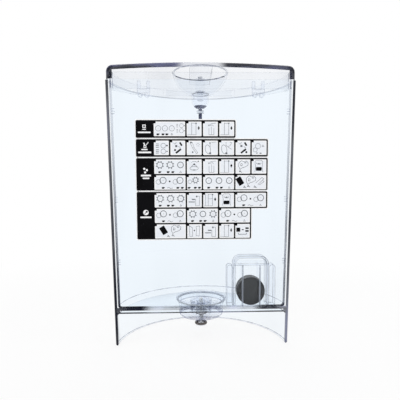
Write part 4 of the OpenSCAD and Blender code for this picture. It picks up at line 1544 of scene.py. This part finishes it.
PICTURES: dict[str, Steps] = {
    "cup": ((BLACK, -1.25, -0.85, 1.0, 0.85, 0.4), (BLACK, 0.7, -0.8, 1.6, 0.1, 0.2)),
    "cone": ((LINE, 0.28, (-1.0, 0.8), (1.0, 0.8), (0.0, -1.0), (-1.0, 0.8)),),
    "drop": ((DOT, 12.0, 6.3, 1.0, 12), (BAR, 12.0, 4.6, 12.0, 8.0, 0.7)),
    "vessel": ((LINE, 0.3, (5.0, 1.0), (5.0, 12.9), (9.3, 12.9), (9.3, 1.4)), (LINE, 0.25, (0.6, 12.9), (9.6, 12.9)),
               (LINE, 0.25, (5.0, 1.6), (9.3, 1.6)), (GREY, 9.4, 1.6, 1.3, 1.1)),
    "full": ((PART, "vessel", 0, 0), (PART, "drop", 0, 0)),
    "half": ((PART, "vessel", 0, 0), (LINE, 0.3, (5.0, 5.8), (9.3, 5.8)), (LINE, 0.25, (2.2, 1.4), (2.2, 12.8)),
             (PART, "drop", 0, 0)),
    "tap": ((LINE, 0.3, (6.6, 3.0), (8.4, 1.9), (13.0, 1.5)), (LINE, 0.3, (6.6, 4.0), (9.2, 3.2), (10.4, 4.4)),
            (GREY, 5.8, 3.7, 1.0, 1.1), (LINE, 0.3, (5.9, 6.4), (5.9, 12.9), (10.8, 12.9), (10.8, 6.4)),
            (LINE, 0.22, (8.4, 5.0), (8.4, 12.6))),
    "dark_tap": ((GREY, 6.4, 6.3, 3.4, 1.0), (GREY, 4.6, 8.9, 6.4, 0.8), (GREY, 9.6, 3.4, 1.3, 1.6),
                 (LINE, 0.3, (8.6, 6.0), (8.6, 12.8), (12.4, 12.8), (12.4, 3.2), (9.2, 3.0))),
    "machine": ((LINE, 0.3, (3.2, 12.6), (4.0, 8.0), (3.3, 2.2), (4.6, 0.9), (9.8, 0.9), (11.1, 2.2), (10.6, 8.0),
                 (11.3, 12.6)),
                (LINE, 0.4, (4.6, 3.6), (6.0, 4.8), (8.4, 4.8), (9.8, 3.6)), (GREY, 7.2, 4.2, 1.6, 0.9),
                (BLACK, 4.2, 7.7, 10.2, 11.4, 0.9), (RING, 6.3, 9.6, 0.9, 0.35, 12)),
    "crumbs": ((LINE, 0.5, (-1.1, -0.6), (0.1, 0.3), (-0.5, 0.9), (1.3, 1.5)), (DOT, -1.2, 0.8, 0.45)),
    "tablet": ((BAR, -2.1, -3.5, 2.1, 3.5, 5.6), (PART, "crumbs", 5.2, 5.3)),
    "cloud": ((LINE, 0.38, (-3.6, 4.4), (-5.2, 1.2), (-4.8, -2.2), (-2.2, -4.4), (0.2, -3.2), (2.6, -4.0), (4.6, -2.2),
               (4.2, 0.4), (1.4, 2.0), (-1.2, 2.6), (-3.6, 4.4)),
              (LINE, 0.3, (-3.2, 0.4), (-2.6, -1.8), (-1.2, -0.8), (-1.6, 1.0)),
              (GREY, -2.6, 0.6, 0.9, 0.9), (GREY, 1.6, -2.2, 2.0, 0.7)),
    "brush": ((BAR, 5.4, 12.3, 10.4, 8.4, 1.7), (GREY, 5.8, 5.4, 2.0, 1.9),
              (LINE, 0.3, (3.0, 2.2), (4.6, 3.6), (6.0, 1.4)), (LINE, 0.3, (8.0, 5.6), (10.6, 7.6))),
    "brush_right": ((BAR, 9.4, 1.8, 11.4, 5.0, 1.6), (PART, "brush", 0, 0), (DOT, 4.6, 9.3, 1.0)),
    "brush_left": ((BAR, 9.0, 1.8, 11.0, 5.0, 1.6), (PART, "brush", 0, 0), (DOT, 10.8, 11.4, 1.0)),
    "jug": (*oval(4.8, 8.6, (2.6, 4.4), (0.9, 0.5), 14), (GREY, 7.0, 12.6, 1.9, 1.7)),
    "jug_spout": ((PART, "jug", 0, 0), (GREY, 6.9, 2.4, 1.4, 1.0), (LINE, 0.3, (8.4, 1.6), (13.2, 1.4)),
                  (LINE, 0.3, (6.9, 3.2), (7.2, 6.2))),
    "jug_hose": ((PART, "jug", 0, 0),
                 (LINE, 0.3, (6.6, 1.4), (6.8, 5.0), (8.8, 6.4), (11.6, 3.8), (12.0, 1.8), (10.2, 1.6)),
                 (LINE, 0.3, (9.0, 6.6), (12.2, 8.6))),
    "wand": ((LINE, 0.3, (3.6, 2.6), (6.0, 7.6), (9.6, 12.8), (11.0, 12.0), (7.0, 6.6), (5.6, 1.4)),
             (GREY, 4.2, 1.8, 1.7, 1.4), (GREY, 5.9, 11.4, 1.3, 1.5), *rays(11.2, 4.0, 1.0, 2.0, 6, 0.28)),
    "stack": (*hatch(3.3, 4.9, 1.6, 3.0, 0.55), (RING, 9.2, 4.9, 2.5, 0.32), *hatch(3.3, 10.6, 1.6, 3.0, 0.55),
              (RING, 9.2, 10.6, 2.5, 0.32), (DOT, 12.9, 4.9, 0.8), (GREY, 12.9, 10.6, 1.2, 1.2)),
    "three_dials": tuple(step for u in (4.3, 11.0, 17.8)
                         for step in ((RING, u, 6.6, 2.8, 0.32), (GREY, u, 6.6, 0.9, 0.2))),
    "wide_rinse": ((PART, "three_dials", 0, 0), *cups(4.0, 9.0, 12.8), (PART, "cone", 17.8, 12.3),
                   *(step for v in (4.0, 9.0) for step in (
                       *hatch(23.3, v, 1.3, 1.6, 0.4), (RING, 27.4, v, 2.1, 0.26), (GREY, 30.4, v, 0.9, 0.9)))),
    "dome": (*oval(7.3, 8.8, (4.2, 1.9), (0.0, 0.0), 16), (LINE, 0.4, (4.2, 7.6), (7.3, 4.0), (10.4, 7.6)),
             (LINE, 0.3, (4.6, 3.0), (6.0, 2.0), (8.8, 2.0), (10.2, 3.0)), (DOT, 7.3, 5.0, 0.7), (DOT, 11.4, 1.8, 0.6),
             (GREY, 7.3, 10.4, 2.6, 0.7)),
    "tools": ((PART, "tablet", 4.4, 6.0), (PART, "cloud", 16.0, 5.0),
              (LINE, 0.34, (20.4, 8.0), (26.8, 2.4), (28.6, 3.8), (22.6, 9.6)),
              (LINE, 0.34, (24.0, 9.8), (29.0, 6.6), (27.2, 5.0)), (PART, "crumbs", 13.4, 10.4),
              (PART, "crumbs", 20.2, 11.2)),
    "packet": ((PART, "tablet", 8.6, 6.0), (PART, "cloud", 21.5, 5.0), (PART, "crumbs", 18.4, 10.6)),
    "hand": ((PART, "cloud", 8.2, 5.6), (PART, "crumbs", 5.2, 11.4)),
    "jugs": ((LINE, 0.3, (2.0, 1.6), (2.4, 12.4), (5.4, 12.4), (5.2, 3.4), (2.0, 1.6)),
             (LINE, 0.3, (12.6, 1.8), (8.8, 2.2), (9.4, 5.0), (8.8, 11.6), (12.0, 12.2), (12.6, 1.8)),
             (DOT, 7.2, 6.4, 0.7)),
    "boxes": ((BLACK, 1.0, 3.8, 5.0, 8.0, 0.5), (BLACK, 10.2, 3.6, 13.6, 5.2, 0.3), (BLACK, 10.2, 6.4, 13.6, 8.1, 0.3),
              (BAR, 6.6, 5.9, 8.6, 5.9, 0.8), (LINE, 0.5, (2.8, 9.2), (3.4, 10.6), (11.2, 10.6), (11.8, 9.2))),
    "circles": ((RING, 6.2, 5.4, 2.7, 0.3), (RING, 3.4, 9.2, 2.2, 0.3), (PART, "cone", 11.2, 5.2),
                (GREY, 5.2, 12.4, 1.3, 0.9), (GREY, 8.8, 12.6, 1.9, 1.0)),
    "rays_and_cups": ((RING, 2.9, 6.4, 2.0, 0.3), *dial(8.6, 4.9, Dial.RAYED, 2.6), *cups(2.0, 8.2, 12.4)),
    "first_dials": dials("rro", (5.4, 13.8, 18.4)),
    "plain_dials": dials("ooo", (5.4, 13.8, 18.2)),
    "rayed_dials": dials("rrr", (5.4, 13.6, 18.0)),
    "mixed_dials": dials("ror", (5.3, 13.5, 18.0)),
    "pairs": dials("pp", (8.6, 23.3, 27.8), False, True),
    "near_pairs": dials("pp", (8.3,), True, True),
    "far_pairs": dials("pp", (8.6,), True, True),
}
WIDE = ("wide_rinse", "tools", "packet", *(name for name in PICTURES if name.endswith(("_dials", "pairs"))))
ROWS = (
    ("wide_rinse", "full", "tap", "full"),
    ("stack", "brush_right", "wand", "jug_spout", "jug_hose", "brush_left", "circles"),
    ("first_dials", "dome", "tap", "full", "hand", "machine"),
    ("pairs", "rays_and_cups", "plain_dials", "tools"),
    ("rayed_dials", "dark_tap", "half", "machine", "near_pairs"),
    ("far_pairs", "mixed_dials", "near_pairs"),
    ("packet", "jugs", "dark_tap", "full", "boxes"),
)


def draw(steps: Steps, ink: Sheet, fine: Sheet, x: float, z: float) -> None:
    """Draws a picture's steps.

    Args:
        steps: The steps.
        ink: The black layer.
        fine: The grey layer.
        x: The picture's corner.
        z: The picture's corner.
    """
    for kind, *sizes in steps:
        if kind is LINE:
            for (u0, v0), (u1, v1) in zip(sizes[1:], sizes[2:]):
                fine.line(x + u0, z - v0, x + u1, z - v1, sizes[0])
        elif kind is GREY:
            u, v, width, height = sizes
            fine.box(x + u - width / 2, z - v - height / 2, x + u + width / 2, z - v + height / 2)
        elif kind is BLACK:
            ink.box(x + sizes[0], z - sizes[3], x + sizes[2], z - sizes[1], sizes[4])
        elif kind is BAR:
            ink.line(x + sizes[0], z - sizes[1], x + sizes[2], z - sizes[3], sizes[4])
        elif kind is PART:
            draw(PICTURES[sizes[0]], ink, fine, x + sizes[1], z - sizes[2])
        else:
            (ink.disc if kind is DOT else fine.ring)(x + sizes[0], z - sizes[1], *sizes[2:])


@dataclass
class Label:
    """The picture label: black blocks of ruled cells with a heading column."""

    left: float = -65.3
    heading: float = 17.2
    cell_w: float = 16.3
    cell_h: float = 15.75
    rule: float = 1.5
    gap: float = 1.3
    top: float = 229.6
    corner: float = 1.3
    halo: float = 1.1
    layer_step: float = 0.006

    def blocks(self) -> tuple[tuple[str, float, float, int, int], ...]:
        """Node name, top, height, columns and first row of every block."""
        one = self.cell_h + 1.6
        two = 2 * self.cell_h + 0.8
        second = self.top - one - self.gap
        third = second - one - self.gap
        fourth = third - two - self.gap
        return (
            ("label_rinse", self.top, one, 5, 0), ("label_steam", second, one, 7, 1),
            ("label_clean", third, two, 7, 2), ("label_descale", fourth, 3 * self.cell_h + 0.8, 6, 4),
        )

    def build(self) -> None:
        """Prints the blocks, the cells and their pictures in thin layers."""
        halo = Sheet("label_halo", Finish.WHITE_FILM, 0.06, 0.05)
        cells = Sheet("label_cells", Finish.WHITE_FILM, 0.15, 0.04)
        tint = Sheet("label_tint", Finish.FILM, 0.18, 0.04)
        ink = Sheet("label_pictures", Finish.INK, 0.25, 0.05)
        fine = Sheet("label_lines", Finish.GREY_INK, 0.23, 0.04)
        for name, top, height, columns, first in self.blocks():
            width = self.heading + columns * self.cell_w + 0.6
            base = Sheet(f"{name}_print", Finish.INK, 0.11, 0.05)
            shapes = [(self.left, top - height, self.left + width, top)]
            if name == "label_descale":
                shapes.append((self.left, top - self.cell_h - 1.2, self.left + width + self.cell_w, top))
            for sheet, grow in ((base, 0.0), (halo, self.halo)):
                for x0, z0, x1, z1 in shapes:
                    sheet.box(x0 - grow, z0 - grow, x1 + grow, z1 + grow, self.corner + grow)
                    sheet.depth -= self.layer_step
                sheet.depth += self.layer_step * len(shapes)
            base.close(name)
            for i in range(round(height / self.cell_h)):
                x, z = self.left + self.heading, top - 0.7 - i * self.cell_h
                for picture in ROWS[first + i]:
                    span = 2 if picture in WIDE else 1
                    self.cell(cells, tint, ink, x, z, span)
                    draw(PICTURES[picture], ink, fine, x + self.rule / 2, z - self.rule / 2)
                    x += span * self.cell_w
        self.headings()
        for sheet in (halo, cells, tint, ink, fine):
            sheet.close()

    def cell(self, cells: Sheet, tint: Sheet, ink: Sheet, x: float, z: float, span: int) -> None:
        """One white cell with a tinted middle and a black tab in its corner.

        Args:
            cells: The white layer.
            tint: The tinted layer.
            ink: The black layer.
            x: The cell's left edge.
            z: The cell's upper edge.
            span: Its columns.
        """
        half = self.rule / 2
        x0, x1, z0, z1 = x + half, x + span * self.cell_w - half, z - self.cell_h + half, z - half
        cells.box(x0, z0, x1, z1, 0.7)
        tint.box(x0 + 1.1, z0 + 1.1, x1 - 1.1, z1 - 1.1, 0.4)
        ink.box(x0 - 0.3, z1 - 1.7, x0 + 1.9, z1 + 0.3, 0.2)

    def headings(self) -> None:
        """Plain white symbols and bars in the heading column."""
        sheet = Sheet("label_headings", Finish.WHITE_FILM, 0.2, 0.05)
        x = self.left + 8.4
        one, two, three, four = (block[1] for block in self.blocks())
        sheet.ring(x, one - 6.0, 2.3, 0.75, 4, math.pi / 4)
        for u, z, width, height in (
            (0.0, one - 9.0, 3.6, 0.9), (0.1, one - 12.0, 12.6, 1.5), (0.1, two - 10.2, 6.2, 1.2),
            (0.3, two - 13.0, 13.0, 1.6), (1.2, three - 17.3, 10.0, 1.7), (1.2, three - 20.0, 6.6, 1.5),
            (0.6, four - 25.6, 11.2, 1.6),
        ):
            sheet.box(x + u - width / 2, z - height / 2, x + u + width / 2, z + height / 2, 0.4)
        sheet.ring(x + 0.6, two - 7.4, 1.9, 0.7, 4, math.pi / 4)
        sheet.line(x - 0.6, two - 3.6, x + 0.6, two - 6.4, 1.2)
        sheet.line(x + 1.8, two - 5.6, x + 4.0, two - 3.0, 0.7)
        for u, v in ((-0.4, 10.6), (2.2, 11.9), (0.4, 14.2)):
            sheet.disc(x + u, three - v, 1.1)
        sheet.disc(x + 0.6, four - 20.8, 2.7, 24)
        sheet.close()
        mark = Sheet("label_heading_mark", Finish.INK, 0.24, 0.03)
        mark.disc(x + 1.4, four - 20.0, 1.0, 12)
        mark.line(x - 1.0, four - 22.4, x + 1.0, four - 20.4, 0.6)
        mark.close()


# ---------------------------------------------------------------- stage


@dataclass
class Studio:
    """Floor, world, lamps and camera; places are in metres."""

    lens: float = 35.32
    eye: Point = (-0.0145, -0.44185, 0.16528)
    down: float = 0.08
    aside: float = -0.032
    roll: float = -0.004
    shift_y: float = 0.0414
    aim: Point = (0.0, 0.0, 0.15)
    floor_size: float = 8.0
    world_light: float = 0.62

    def build(self) -> None:
        """Sets up the whole studio."""
        self.floor()
        self.world()
        for name, place, size, power in (
            ("lamp_left", (-0.75, -0.9, 1.05), 0.8, 5.0), ("lamp_right", (0.85, -0.6, 1.0), 0.9, 4.0),
            ("lamp_back", (0.1, 0.9, 1.1), 1.0, 5.0),
        ):
            self.lamp(name, place, size, power)
        self.camera()

    def floor(self) -> None:
        """A pale floor that shows white to the camera and keeps the shadow."""
        Work.clear()
        bpy.ops.mesh.primitive_plane_add(size=self.floor_size, location=(0.0, 0.0, -0.0003))
        floor = bpy.context.object
        floor.name = "floor"
        g = Graph(bpy.data.materials.new("studio_floor"))
        grain = g.noise(3.0).rise(0.0, 1.0, 0.98, 1.0)
        matt = g.skin(g.blend(grain, (0.84, 0.84, 0.85), (0.88, 0.88, 0.88)), 0.9, 0.0)
        white = g.add("ShaderNodeEmission", None, {"Color": (1.0, 1.0, 1.0), "Strength": 1.0}).outputs[0]
        x_axis, y_axis, _ = g.axes()
        far = (x_axis * x_axis + y_axis * y_axis).rise(0.03, 0.3, 0.85, 1.0)
        floor.data.materials.append(g.close(g.mix(g.seen() * far, matt, white)))

    def world(self) -> None:
        """White for what sees it directly, softer as a light."""
        g = Graph(bpy.data.worlds.new("studio_world"))
        soft, white = (
            g.add("ShaderNodeBackground", None, {"Color": (1.0, 1.0, 1.0), "Strength": strength}).outputs[0]
            for strength in (self.world_light, 1.0)
        )
        bpy.context.scene.world = g.close(g.mix(g.seen(), soft, white))

    def lamp(self, name: str, place: Point, size: float, power: float) -> None:
        """A soft square lamp that looks at the tank.

        Args:
            name: The lamp's name.
            place: Where it hangs.
            size: Its side.
            power: Its power, in watts.
        """
        bpy.ops.object.light_add(type="AREA", location=place)
        lamp = bpy.context.object
        lamp.name = name
        lamp.data.size = size
        lamp.data.energy = power
        lamp.rotation_euler = (Vector(self.aim) - Vector(place)).to_track_quat("-Z", "Y").to_euler()

    def camera(self) -> None:
        """The camera in front of the flat wall."""
        bpy.ops.object.camera_add(location=self.eye)
        camera = bpy.context.object
        camera.name = "camera"
        p, q = self.down, self.aside
        forward = Vector((-math.sin(q) * math.cos(p), math.cos(q) * math.cos(p), -math.sin(p)))
        turn = forward.to_track_quat("-Z", "Y").to_matrix() @ Matrix.Rotation(self.roll, 3, "Z")
        camera.rotation_euler = turn.to_euler()
        camera.data.lens = self.lens
        camera.data.sensor_width = 36.0
        camera.data.shift_y = self.shift_y
        camera.data.clip_start = 0.01
        bpy.context.scene.camera = camera


def main() -> None:
    """Builds the studio and every sub-assembly in order."""
    logging.basicConfig(level=logging.INFO, format="%(message)s")
    scene = bpy.context.scene
    scene.view_settings.view_transform = "Standard"
    scene.cycles.transparent_max_bounces = 64
    Studio().build()
    for assembly in (Tank(), Outlet(), FloatUnit(), Lid(), Label()):
        log.info("building %s", type(assembly).__name__)
        assembly.build()


if __name__ == "__main__":
    main()
